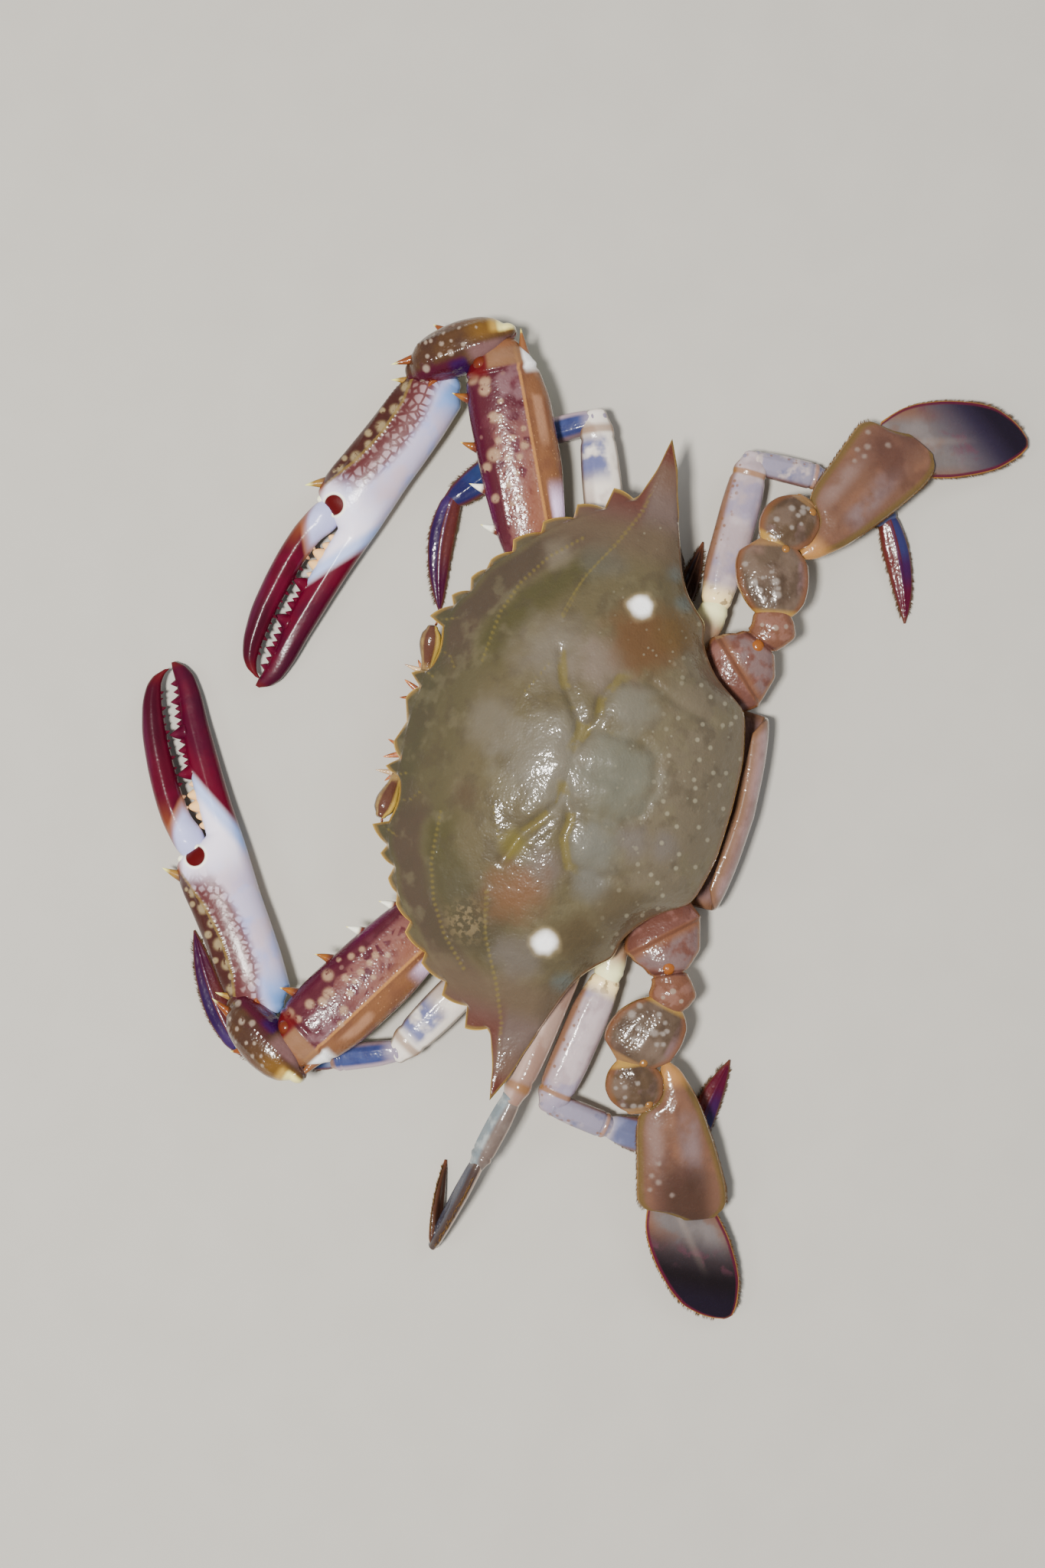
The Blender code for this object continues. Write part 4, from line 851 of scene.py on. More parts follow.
# %% Teeth, spines and joints of the claws
PALM_TEETH = [(0.528, 0.9, 0.5), (0.556, 1.1, 0.5), (0.587, 2.1, 0.5), (0.62, 1.7, 0.5), (0.65, 0.9, 0.8),
              (0.685, 2.9, 0.8), (0.712, 1.0, 0.9), (0.732, 1.0, 0.9), (0.75, 1.6, 0.8), (0.775, 1.0, 0.9),
              (0.8, 2.9, 0.8), (0.825, 1.1, 0.9), (0.848, 1.4, 0.9), (0.868, 1.0, 0.9), (0.89, 1.8, 0.9),
              (0.915, 0.9, 0.9), (0.94, 1.2, 0.9)]
FINGER_TEETH = [(0.24, 0.5, 0.6), (0.3, 0.8, 0.6), (0.37, 1.0, 0.8), (0.42, 0.5, 0.9), (0.46, 0.7, 0.9),
                (0.52, 1.1, 0.9), (0.57, 0.5, 0.9), (0.61, 0.7, 0.9), (0.66, 1.1, 0.9), (0.7, 0.5, 0.9),
                (0.745, 0.7, 0.9), (0.79, 1.1, 0.9), (0.84, 0.5, 0.9), (0.875, 0.8, 0.9)]
MERUS_SPINES = [(0.25, 1.0), (0.43, 1.0), (0.61, 0.0), (0.82, 0.0)]
WRIST_SPINES = [(0.6, REAR, 2.2, 3.0, 3.8, 0.0, 1.9), (1.02, REAR, 3.6, 8.2, 0.2, 3.0, 2.1),
                (0.9, FRONT, 2.2, 4.6, 4.0, 3.4, 1.8)]
HAND_SPINES = [(0.395, REAR, 3.0, 4.6, 6.2, 1.6, 2.3), (0.03, REAR, 3.6, 3.2, 6.4, 2.8, 2.0)]
KNUCKLES = [(0.472, 0.62, 1.25), (0.452, 0.2, 1.1)]


def merus_shape(share, angle, side):
    """Two beaded lines along the upper face, and a swollen collar with a groove behind it."""
    front_line = wall(side, -6.6, 0.6) * fade(share, 0.2, 0.3) * fade(share, 0.6, 0.5)
    lines = (wall(side, 3.6, 0.5) + front_line) * (angle < math.pi)
    ends = fade(share, 0.02, 0.1) * fade(share, 0.93, 0.85)
    end_collar = wall(share, 0.925, 0.012) * 0.3 - wall(share, 0.905, 0.01) * 0.35
    return lines * (0.22 + 0.26 * beads(share, 58.0, 1.2)) * ends + end_collar


def carpus_shape(share, angle, side):
    """Two beaded ridges along the wrist's back, and a hollow on its inner side."""
    ridges = 0.4 * (wall(side, 7.4, 0.7) + wall(side, 2.2, 0.7)) * (np.sin(angle) > 0.0)
    ridges = ridges * (0.4 + 0.6 * beads(share, 18.0, 1.3))
    return ridges * fade(share, -0.05, 0.15) * fade(share, 1.15, 1.0) - 0.5 * wall(angle, 2.75, 0.3)


def palm_shape(share, angle, side):
    """The beaded keel along the hand with a hollow beside it, a beaded crest on the outer side,
    and a ridge with a groove along the finger."""
    top = (np.sin(angle) > 0.0) * 1.0
    hand = fade(share, 0.02, 0.08) * fade(share, 0.43, 0.38)
    keel = wall(past_keel(share, angle, side), 0.0, 0.5) * (0.15 + 0.3 * beads(share, 93.0, 1.2)) * top
    hollow = -0.3 * wall(past_keel(share, angle, side), 1.9, 1.2) * top
    finger = fade(share, 0.5, 0.56) * fade(share, 0.97, 0.85)
    ridge = 0.12 * wall(side, -0.6, 0.7) * top * finger - 0.1 * wall(side, 1.0, 0.8) * top * finger
    crest = 0.25 * wall(side, 9.9, 0.5) * (0.4 + 0.6 * beads(share, 93.0, 1.1)) * top
    return (keel + hollow + crest) * hand + ridge


def finger_shape(share, angle, side):
    """A smooth ridge between two grooves along the movable finger, and a low knuckle."""
    run = fade(share, 0.12, 0.25) * fade(share, 0.97, 0.85)
    ridge = 0.12 * wall(angle, 1.6, 0.24) - 0.12 * wall(angle, 1.1, 0.2) - 0.1 * wall(angle, 2.2, 0.22)
    return ridge * run + 0.4 * wall(share, 0.06, 0.03) * wall(angle, 1.4, 0.5)


def claw_skins(side_name):
    """Skins of the five parts of one claw, by the part's name."""
    side = SIDES[side_name]
    base, elbow, tip = CLAW[side_name]
    parts = {"base": limb_part(base, elbow, CLAW_BASE, side, square=0.9),
             "merus": limb_part(elbow, tip, CLAW_MERUS, side, square=0.86),
             "carpus": limb_part(*ELBOW[side_name], CLAW_CARPUS, side, square=0.88),
             "palm": limb_part(*PALM[side_name], CLAW_PALM, side, square=0.82),
             "finger": limb_part(*FINGER[side_name], CLAW_FINGER, side, square=0.9)}
    merus = [limb_skin(parts["merus"], 170, 96, merus_shape, MERUS_DOTS[side_name])]
    merus += [spine_on(parts["merus"], share, FRONT, 2.0, 2.6, 5.6, 0.6, 2.0, white=white)
              for share, white in MERUS_SPINES]
    merus.append(spine_on(parts["merus"], 0.93, REAR, 2.6, 9.0, 0.6, 1.2, 2.2, dark=1.0))
    merus.append(ball_skin(limb_at(parts["merus"], 0.955, FRONT - 0.75, -1.3), (2.1, 2.1, 1.9),
                           {"ball": 1.0, "along": 0.8, "side": -5.0, "upward": 0.7}))
    carpus = [limb_skin(parts["carpus"], 90, 90, carpus_shape, CARPUS_DOTS[side_name])]
    carpus += [spine_on(parts["carpus"], *spine) for spine in WRIST_SPINES]
    palm = [limb_skin(parts["palm"], 300, 120, palm_shape, PALM_DOTS,
                      {"keel": past_keel, "tide": palm_tide, "spot": hinge_spot})]
    palm += [spine_on(parts["palm"], *spine) for spine in HAND_SPINES]
    palm += [spine_on(parts["palm"], share, REAR, 1.2, 0.2, 1.3 + tall * 1.2, 0.2, 1.1 + tall * 0.55, power,
                      tooth=1.0, tide=share - 0.655) for share, tall, power in PALM_TEETH]
    palm += [ball_skin(limb_at(parts["palm"], share, angle, -0.4), (radius, radius, radius * 0.9),
                       {"ball": 1.0, "upward": 1.0, "keel": -9.0}) for share, angle, radius in KNUCKLES]
    finger = [limb_skin(parts["finger"], 150, 80, finger_shape, extra={"tide": finger_tide})]
    finger += [spine_on(parts["finger"], share, FRONT, 1.0, 0.3, 1.0 + tall, 0.2, 0.7 + tall * 0.34, power,
                        tooth=1.0, tide=share - 0.3) for share, tall, power in FINGER_TEETH]
    return {"base": [limb_skin(parts["base"], 40, 40)], "merus": merus, "carpus": carpus, "palm": palm,
            "finger": finger}


# %% [markdown]
# The colours follow the marks. Blotches are blurred, because the pigment lies under a clear
# layer. The netted strip is the pattern between rounded cells, and the beaded keel beside it is
# yellowish where the brown wears thin. Each layer of the list is one such patch of pigment.

# %% Finishes of the claws
GRAINS = (0.06, "spots", 0.8, 0.0, 0.6, 2.0)
SWELLS = (0.14, "clouds", 5.0, 0.3, 0.7, 12.0)
ARM_SHELL = wet_shell(
    "crimson_blotched_cuticle", "#461b24",
    [("#592d35", 0.6, ("clouds", 6.0, 0.48, 0.64, 1.0)),
     ("#764e47", 0.75, ("net", 3.2, 0.2, 0.08, 4.0), ("side", -7.0, -5.0), ("along", 0.78, 0.6)),
     ("#784b39", 0.8, ("side", -5.0, 0.5), ("along", 0.5, 0.3)),
     ("#735559", 0.7, ("along", 0.64, 0.8), ("side", -3.8, -1.6), ("clouds", 4.0, 0.4, 0.6, 5.0)),
     ("#3e041d", 0.9, ("side", -7.4, -9.4)),
     ("#4b0437", 0.8, ("side", -8.4, -10.0), ("along", 0.55, 0.4)),
     ("#7a503e", 0.7, ("side", 0.5, 2.8), ("along", 0.62, 0.45)),
     ("#724c31", 0.95, ("side", 3.2, 4.6)),
     ("#613e2e", 0.6, ("side", 3.7, 4.5), ("clouds", 7.0, 0.42, 0.62, 6.0)),
     ("#966c4c", 0.8, ("side", 3.9, 4.5), ("spots", 0.9, 0.34, 0.2, 7.0), ("along", 0.75, 0.55)),
     ("#9f755a", 0.7, ("side", 5.2, 6.4), ("side", 8.8, 7.6), ("along", 0.5, 0.65),
      ("clouds", 8.0, 0.4, 0.62, 2.0)),
     ("#eccff7", 0.95, ("side", 5.0, 6.8), ("along", 0.44, 0.3)),
     ("#a97842", 0.7, ("side", 3.0, 3.5), ("side", 4.2, 3.8)),
     ("#785852", 0.6, ("spots", 3.2, 0.27, 0.12, 5.0), ("side", 3.0, 1.0), ("upward", 0.0, 0.3)),
     ("#987b62", 0.85, ("dots", 0.15, 0.8), ("clouds", 1.6, 0.3, 0.46, 8.0)),
     ("#7d5b40", 0.85, ("along", 0.915, 0.935), ("side", -5.5, -3.5)),
     ("#f7f7f7", 0.97, ("along", 0.87, 0.92), ("side", 4.6, 5.8)),
     ("#6f462c", 0.85, ("along", 0.99, 1.02)),
     ("#55080b", 0.9, ("along", 0.87, 0.92), ("side", -3.6, -5.2)),
     ("#f7f7c3", 0.95, ("upward", -0.15, -0.5)),
     ("#5d2410", 0.95, ("ball", 0.2, 0.8)),
     ("#5d2f20", 0.9, ("spike", 0.3, 0.7), ("tip", 0.12, 0.3)),
     ("#86521e", 0.9, ("spike", 0.3, 0.7), ("tip", 0.35, 0.6)),
     ("#f7f7e5", 0.95, ("spike", 0.3, 0.7), ("white", 0.3, 0.7), ("tip", 0.35, 0.55)),
     ("#f7e56f", 0.9, ("spike", 0.3, 0.7), ("tip", 0.86, 0.96)),
     ("#744b30", 0.8, ("dark", 0.3, 0.7), ("tip", 0.9, 0.7))],
    bumps=[GRAINS, SWELLS], roughness=0.27, coat=0.7)
WRIST_SHELL = wet_shell(
    "olive_dotted_cuticle", "#3b261c",
    [("#47301c", 0.8, ("clouds", 6.0, 0.42, 0.6, 1.0)),
     ("#3e1821", 0.7, ("clouds", 7.0, 0.5, 0.62, 4.0), ("side", 5.0, 1.0)),
     ("#64461a", 0.85, ("along", 0.4, 0.08), ("side", 2.0, 5.0)),
     ("#b59246", 0.8, ("along", 0.02, -0.1), ("side", 3.5, 5.5)),
     ("#f7eb95", 0.9, ("along", -0.1, -0.16), ("side", 3.5, 5.0)),
     ("#6c4f4e", 0.8, ("along", 0.42, 0.25), ("side", 3.2, 1.6)),
     ("#3d041d", 0.92, ("side", 1.8, -0.2), ("along", 0.36, 0.5)),
     ("#270440", 0.85, ("side", 1.0, -0.6), ("along", 0.36, 0.44), ("along", 0.72, 0.56)),
     ("#550412", 0.7, ("side", -1.2, -2.6), ("along", 0.6, 0.8)),
     ("#8d7d6f", 0.8, ("dots", 0.2, 0.8), ("clouds", 1.3, 0.3, 0.46, 8.0)),
     ("#51301e", 0.7, ("side", 8.0, 9.6)),
     ("#f7f7cd", 0.9, ("upward", -0.2, -0.55)),
     ("#763e1c", 0.95, ("spike", 0.3, 0.7), ("tip", 0.1, 0.3)),
     ("#f7f792", 0.9, ("spike", 0.3, 0.7), ("tip", 0.78, 0.95))],
    bumps=[GRAINS, SWELLS], roughness=0.27)
HAND_SHELL = wet_shell(
    "lilac_netted_cuticle", "#b3abc5",
    [("#8f9cd0", 0.7, ("clouds", 9.0, 0.47, 0.62, 1.0)),
     ("#c0a6a9", 0.5, ("clouds", 12.0, 0.5, 0.62, 3.0)),
     ("#efe7f7", 0.8, ("along", 0.34, 0.46), ("side", -5.5, -3.0)),
     ("#4c85c7", 0.75, ("along", 0.11, 0.0), ("side", 0.0, -3.0)),
     ("#92716e", 0.85, ("keel", -8.4, -4.5), ("along", 0.42, 0.3)),
     ("#6c504b", 0.8, ("keel", -5.4, -1.4), ("along", 0.41, 0.33)),
     ("#532a2b", 0.9, ("net", 2.0, 0.19, 0.07, 3.0), ("keel", -8.4, -5.6), ("along", 0.42, 0.33)),
     ("#4a2022", 0.8, ("net", 2.0, 0.28, 0.12, 3.0), ("keel", -4.4, -1.0), ("along", 0.41, 0.34)),
     ("#381c18", 0.97, ("keel", -0.7, 0.5), ("along", 0.46, 0.43)),
     ("#8c7b5b", 0.85, ("dots", 0.15, 0.75), ("clouds", 1.4, 0.3, 0.48, 8.0), ("keel", -1.6, -0.8)),
     ("#776334", 0.6, ("keel", -0.6, -0.2), ("keel", 0.6, 0.25), ("along", 0.44, 0.4), ("upward", 0.1, 0.3)),
     ("#ecceaa", 0.75, ("upward", -0.1, -0.4)),
     ("#6799de", 0.6, ("tide", -0.1, -0.04), ("tide", 0.02, -0.01), ("tooth", 0.5, 0.2)),
     ("#51041d", 1.0, ("tide", -0.025, 0.03)),
     ("#3d041d", 0.9, ("tide", 0.05, 0.16), ("clouds", 8.0, 0.3, 0.55, 5.0)),
     ("#2f041a", 0.7, ("tide", 0.18, 0.34), ("side", -1.5, -3.5)),
     ("#521715", 0.7, ("along", 0.975, 0.995)),
     ("#edba73", 0.95, ("tooth", 0.3, 0.7), ("tide", 0.01, -0.01)),
     ("#5f2034", 0.5, ("tooth", 0.3, 0.7), ("tide", 0.0, 0.02), ("tip", 0.3, 0.8)),
     ("#f7f7e6", 0.9, ("spot", 0.13, 0.25)),
     ("#480406", 1.0, ("spot", 0.28, 0.4)),
     ("#f7f7d2", 0.95, ("ball", 0.2, 0.8)),
     ("#753618", 0.8, ("along", 0.4, 0.43), ("side", 10.5, 12.5), ("tide", 0.0, -0.2)),
     ("#5d3b24", 0.9, ("spike", 0.3, 0.7), ("tooth", 0.5, 0.2)),
     ("#906e2f", 0.9, ("spike", 0.3, 0.7), ("tip", 0.3, 0.6), ("tooth", 0.5, 0.2)),
     ("#f7f78e", 0.9, ("spike", 0.3, 0.7), ("tip", 0.7, 0.95), ("tooth", 0.5, 0.2))],
    bumps=[(0.014, "spots", 0.8, 0.0, 0.6, 2.0), (0.08, "clouds", 6.0, 0.3, 0.7, 12.0)],
    roughness=0.33, coat=0.5, water=0.2)
FINGER_SHELL = wet_shell(
    "wine_red_cuticle", "#470419",
    [("#5a0424", 0.7, ("clouds", 9.0, 0.45, 0.62, 1.0)),
     ("#310416", 0.8, ("along", 0.4, 0.7), ("side", 2.0, 4.6)),
     ("#481531", 0.5, ("side", 6.4, 7.8), ("along", 0.3, 0.5)),
     ("#abaed9", 1.0, ("tide", 0.02, -0.06)),
     ("#8f5e44", 0.7, ("tide", 0.04, 0.0), ("tide", -0.1, -0.03)),
     ("#764124", 0.85, ("along", 0.34, 0.08), ("side", 2.6, 4.6)),
     ("#541012", 0.7, ("along", 0.9, 0.98)),
     ("#bd9366", 0.9, ("tooth", 0.3, 0.7), ("tide", 0.02, -0.02))],
    bumps=[(0.02, "spots", 0.8, 0.0, 0.6, 2.0), (0.1, "clouds", 5.0, 0.3, 0.7, 12.0)],
    roughness=0.33, coat=0.5, glow=0.0, water=0.2)
CREAM_SHELL = wet_shell(
    "cream_underside_cuticle", "#bc9f77",
    [("#8f6e56", 0.7, ("clouds", 5.0, 0.45, 0.62, 1.0)), ("#f7dcac", 0.6, ("clouds", 9.0, 0.45, 0.6, 4.0))],
    bumps=[GRAINS], roughness=0.33)

CLAW_SHELLS = {"base": CREAM_SHELL, "merus": ARM_SHELL, "carpus": WRIST_SHELL, "palm": HAND_SHELL,
               "finger": FINGER_SHELL}
for side_name in SIDES:
    for kind, skins in claw_skins(side_name).items():
        finished("claw_" + kind + "_shell_" + side_name, skins, CLAW_SHELLS[kind],
                 ["claw_" + kind + "_" + side_name])
print("claws done")

# %% [markdown]
# The three pairs of walking legs are folded beside the body. Each has a short base, a long
# merus, a carpus, a flat propodus and a dagger-like dactyl. They run from lilac white near the
# body through slate blue to violet and crimson, with brown hairs along the last two parts. A
# fringe has the shares of the length where it begins and ends, and its number of hairs.

# %% Tables and places of the walking legs
WALKING = {
    ("first", "left"): [(25.0, -9.5, 8.0), (42.9, -2.7, 9.0), (83.6, -25.8, 7.6), (90.7, -41.9, 3.8),
                        (94.1, -67.9, 2.2), (68.3, -87.2, 0.3)],
    ("first", "right"): [(-25.0, -9.5, 8.0), (-44.4, -2.7, 9.0), (-89.7, -20.2, 8.0), (-82.4, -33.7, 4.0),
                         (-60.4, -51.3, 2.4), (-30.5, -46.8, 0.3)],
    ("second", "left"): [(25.0, 4.5, 8.0), (42.8, 12.0, 9.8), (86.2, 5.7, 15.5), (105.0, 1.7, 13.0),
                         (130.3, -3.7, 3.8), (109.4, -6.6, 0.3)],
    ("second", "right"): [(-25.0, 4.5, 8.0), (-38.2, 7.0, 9.5), (-77.5, 0.9, 10.2), (-65.4, 5.6, 4.8),
                          (-43.8, 12.5, 2.6), (-67.0, 15.6, 0.3)],
    ("third", "left"): [(25.0, 18.5, 8.0), (50.7, 21.6, 9.5), (86.4, 16.0, 9.2), (88.6, 32.2, 5.4),
                        (88.9, 55.5, 2.6), (63.7, 59.1, 0.3)],
    ("third", "right"): [(-25.0, 18.5, 8.0), (-51.2, 23.0, 8.0), (-90.2, 22.4, 7.6), (-91.1, 40.2, 4.6),
                         (-85.8, 61.2, 2.6), (-60.6, 73.0, 0.3)]}
LEG_BASE = [(0.0, -3.6, 3.6, 3.4), (0.45, -4.3, 4.3, 3.9), (0.85, -4.1, 4.1, 3.7), (1.05, -2.8, 2.8, 2.6)]
LEG_MERUS = [(-0.05, -2.3, 2.3, 2.0), (0.05, -3.4, 3.4, 3.0), (0.3, -4.2, 4.4, 3.5),
             (0.65, -4.2, 4.6, 3.5), (0.92, -3.7, 4.0, 3.1), (1.03, -2.6, 2.8, 2.2)]
WIDE_MERUS = [(-0.05, -2.5, 2.4, 2.0), (0.06, -4.4, 3.7, 3.1), (0.3, -5.6, 4.7, 3.6), (0.65, -5.5, 4.9, 3.6),
              (0.9, -4.8, 4.3, 3.2), (1.03, -3.0, 2.8, 2.2)]
LEG_CARPUS = [(-0.12, -1.8, 1.8, 1.6), (0.06, -2.8, 2.8, 2.4), (0.45, -3.4, 3.5, 2.8), (0.85, -3.5, 3.5, 2.6),
              (1.06, -2.5, 2.5, 1.9)]
LEG_PROPODUS = [(-0.05, -2.1, 2.1, 1.3), (0.07, -3.3, 3.3, 1.9), (0.35, -4.5, 4.4, 2.0),
                (0.72, -4.2, 4.0, 1.8), (0.94, -3.3, 3.1, 1.6), (1.04, -2.3, 2.1, 1.2)]
LEG_DACTYL = [(-0.05, -1.5, 1.5, 1.0), (0.05, -2.4, 2.4, 1.5), (0.3, -3.0, 2.8, 1.4), (0.62, -2.4, 2.1, 1.1),
              (0.87, -1.2, 1.0, 0.7), (1.0, -0.3, 0.3, 0.45)]
WIDE_DACTYL = [(-0.05, -1.7, 1.9, 1.0), (0.05, -2.6, 3.2, 1.5), (0.3, -3.1, 3.9, 1.4), (0.62, -2.6, 3.0, 1.1),
               (0.87, -1.4, 1.4, 0.7), (1.0, -0.3, 0.3, 0.45)]
DACTYL_BOW = {("first", "left"): 1.3, ("first", "right"): 1.6, ("second", "left"): 0.6,
              ("second", "right"): 1.0, ("third", "left"): 0.5, ("third", "right"): -1.2}
LEG_FRINGES = {"propodus": (0.1, 0.95, 150), "dactyl": (0.08, 0.92, 160)}

# %% [markdown]
# The parts are not plain tubes. The merus and the carpus have low ridges along their faces and
# a swollen collar where the next part hinges, and the flat parts have a keel between two
# shallow grooves.

# %% Shapes of the leg parts
def collar(share, angle, side):
    """A low swollen ring just before the end of a part, with a groove behind it."""
    return 0.25 * wall(share, 0.95, 0.03) - 0.3 * wall(share, 0.89, 0.016)


def merus_ridge(share, angle, side):
    """Low ridges along the faces, the collar, and the swelling at the near hinge."""
    run = fade(share, 0.02, 0.2) * fade(share, 0.88, 0.75)
    ridges = 0.2 * wall(angle, 1.95, 0.14) + 0.1 * wall(angle, 1.1, 0.18) + 0.2 * wall(angle, 4.9, 0.2)
    return collar(share, angle, side) + ridges * run + 0.3 * wall(share, 0.02, 0.03)


def flat_keel(share, angle, side):
    """A keel along both flat faces, between two shallow grooves."""
    cos = np.cos(angle)
    keel = 0.2 * wall(cos, -0.05, 0.12) - 0.1 * wall(cos, -0.4, 0.2) - 0.1 * wall(cos, 0.38, 0.2)
    return keel * fade(share, 0.0, 0.15) * fade(share, 1.0, 0.85)


SHAPES = {"base": collar, "merus": merus_ridge, "carpus": merus_ridge,
          "propodus": flat_keel, "dactyl": flat_keel}

# %% [markdown]
# The three pairs differ. The first has a white merus with a sky blue patch and navy blades, the
# second is greyer, and the third is lilac with a tan, speckled lower edge. Each blade is parted
# by its keel: one half is violet or blue, the other is brown-red, stippled like leather.

# %% Finishes of the walking legs
LEG_GRAIN = (0.03, "spots", 0.9, 0.0, 0.6, 2.0)


def leg_shell(name, ground, layers):
    """One leg finish: its own layers, and cream over the face underneath."""
    return wet_shell(name, ground, layers + [("#e9ccb6", 0.6, ("upward", -0.2, -0.7))],
                     bumps=[LEG_GRAIN, SWELLS], roughness=0.28, coat=0.7, glow=0.08)


def blade_layers(stipple, inner, sign, ridge):
    """Layers of a two-coloured blade: stipples, a second colour on one side of the keel, and
    the keel's own colour."""
    near, far = 0.12 * sign - 0.06, 0.12 * sign + 0.14 * sign - 0.06
    return [(stipple, 0.7, ("spots", 1.1, 0.4, 0.2, 4.0)),
            (inner, 0.9, ("across", near, far)),
            (ridge, 0.55, ("across", -0.16, -0.08), ("across", 0.04, -0.02), ("upward", 0.3, 0.6))]


BROWN_EDGES = [("#512f23", 0.85, ("rim", 0.55, 0.2))]
LEG_BASE_SHELL = leg_shell(
    "tan_base_cuticle", "#a1876e",
    [("#7a563c", 0.7, ("across", 0.4, 0.9)), ("#83603f", 0.6, ("clouds", 3.5, 0.5, 0.62, 1.0)),
     ("#f7f7bb", 0.85, ("along", 0.75, 0.95))])
LEG_SHELLS = {
    "first": {
        "merus": leg_shell(
            "white_blue_patched_cuticle", "#d8cfc5",
            [("#9d8c82", 0.6, ("clouds", 7.0, 0.48, 0.62, 1.0)),
             ("#7c655c", 0.6, ("along", 0.8, 0.5), ("side", -1.5, -3.5)),
             ("#454e81", 0.9, ("along", 0.62, 0.74), ("along", 0.93, 0.86), ("side", 3.0, 1.2),
              ("clouds", 6.0, 0.3, 0.5, 6.0)),
             ("#5d4833", 0.75, ("rim", 0.9, 0.2)),
             ("#745233", 0.7, ("along", 0.91, 0.935), ("along", 0.99, 0.95))]),
        "carpus": leg_shell(
            "dark_blue_patched_cuticle", "#37406c",
            [("#292f5a", 0.7, ("clouds", 6.0, 0.47, 0.6, 1.0)), ("#ac969d", 0.85, ("across", 0.45, 0.85)),
             ("#7d645e", 0.7, ("across", -0.6, -0.9)), ("#938796", 0.8, ("along", 0.3, 0.05)),
             ("#83603f", 0.7, ("along", 0.95, 1.02))]),
        "propodus": leg_shell(
            "navy_blue_cuticle", "#1e315a",
            [("#2a497f", 0.6, ("clouds", 7.0, 0.5, 0.62, 1.0)), ("#1c1140", 0.8, ("along", 0.55, 0.9)),
             ("#7e8297", 0.85, ("along", 0.14, -0.02)), ("#48242b", 0.8, ("rim", 1.2, 0.4))] + BROWN_EDGES),
        "dactyl": leg_shell(
            "violet_brown_cuticle", "#4a2020",
            blade_layers("#5b2c25", "#1b0939", 1.0, "#523b5b")
            + [("#320429", 0.8, ("along", 0.4, 0.8)),
               ("#3c2859", 0.5, ("along", 0.25, 0.05), ("across", 0.0, 0.3))] + BROWN_EDGES)},
    "second": {
        "merus": leg_shell(
            "pinkish_white_cuticle", "#a58c82",
            [("#ceb8ad", 0.8, ("clouds", 7.0, 0.46, 0.6, 1.0)), ("#715243", 0.7, ("rim", 1.4, 0.3)),
             ("#775024", 0.7, ("along", 0.9, 0.93), ("along", 0.99, 0.95))]),
        "carpus": leg_shell(
            "pale_grey_blue_cuticle", "#6e787d",
            [("#979d9d", 0.8, ("clouds", 5.0, 0.47, 0.6, 1.0)), ("#5d473b", 0.8, ("side", 1.6, 2.8))]),
        "propodus": leg_shell(
            "blue_grey_cuticle", "#323441",
            [("#424452", 0.7, ("clouds", 7.0, 0.47, 0.62, 1.0)), ("#252330", 0.7, ("along", 0.6, 0.95)),
             ("#7f766e", 0.8, ("along", 0.1, -0.03)), ("#3c2c23", 0.8, ("rim", 1.4, 0.5))]),
        "dactyl": leg_shell(
            "dark_brown_cuticle", "#2e1d17",
            blade_layers("#3d261d", "#20141a", -1.0, "#523523")
            + [("#492d1f", 0.8, ("rim", 0.9, 0.3)), ("#5d3522", 0.7, ("along", 0.85, 1.0))])},
    "third": {
        "merus": leg_shell(
            "lilac_white_cuticle", "#98888c",
            [("#afa0a3", 0.75, ("clouds", 8.0, 0.46, 0.6, 1.0)),
             ("#76728e", 0.6, ("clouds", 9.0, 0.5, 0.62, 6.0)),
             ("#73513b", 0.8, ("spots", 1.5, 0.42, 0.24, 4.0), ("side", -0.8, -3.2)),
             ("#704d33", 0.9, ("side", -3.2, -4.6)), ("#776166", 0.5, ("side", 3.2, 4.4)),
             ("#f7dea1", 0.9, ("along", 0.16, 0.04)),
             ("#5e462f", 0.7, ("along", 0.16, 0.04), ("clouds", 2.2, 0.52, 0.6, 2.0)),
             ("#815827", 0.75, ("along", 0.88, 0.9), ("along", 0.935, 0.92))]),
        "carpus": leg_shell(
            "lilac_blue_cuticle", "#807a8b",
            [("#bdaca3", 0.85, ("clouds", 6.0, 0.5, 0.62, 1.0)),
             ("#53597b", 0.6, ("clouds", 5.0, 0.54, 0.64, 6.0)),
             ("#77533a", 0.8, ("spots", 1.5, 0.42, 0.24, 4.0), ("side", -0.8, -2.4)),
             ("#613e2f", 0.85, ("side", 2.4, 3.4)),
             ("#8d5f29", 0.6, ("along", 0.88, 0.92), ("along", 0.98, 0.94))]),
        "propodus": leg_shell(
            "slate_blue_cuticle", "#545876",
            [("#787a98", 0.8, ("clouds", 7.0, 0.45, 0.6, 1.0)), ("#33395c", 0.75, ("along", 0.4, 0.85)),
             ("#b3a7aa", 0.8, ("along", 0.12, -0.02)), ("#5d3a2e", 0.9, ("side", 3.0, 4.0)),
             ("#6b4e3d", 0.75, ("side", -3.2, -4.2))]),
        "dactyl": leg_shell(
            "blue_crimson_cuticle", "#4e1c1b",
            blade_layers("#5b2a22", "#1f2954", -1.0, "#462f4f")
            + [("#310534", 0.85, ("along", 0.28, 0.48), ("across", 0.2, -0.1)),
               ("#45041d", 0.9, ("along", 0.5, 0.75)), ("#592e1b", 0.8, ("along", 0.9, 1.0))] + BROWN_EDGES)}}
HAIR = wet_shell("golden_brown_hair", "#523b25", [("#896634", 0.7, ("tip", 0.4, 1.0))],
                 roughness=0.45, coat=0.1, glow=0.0)


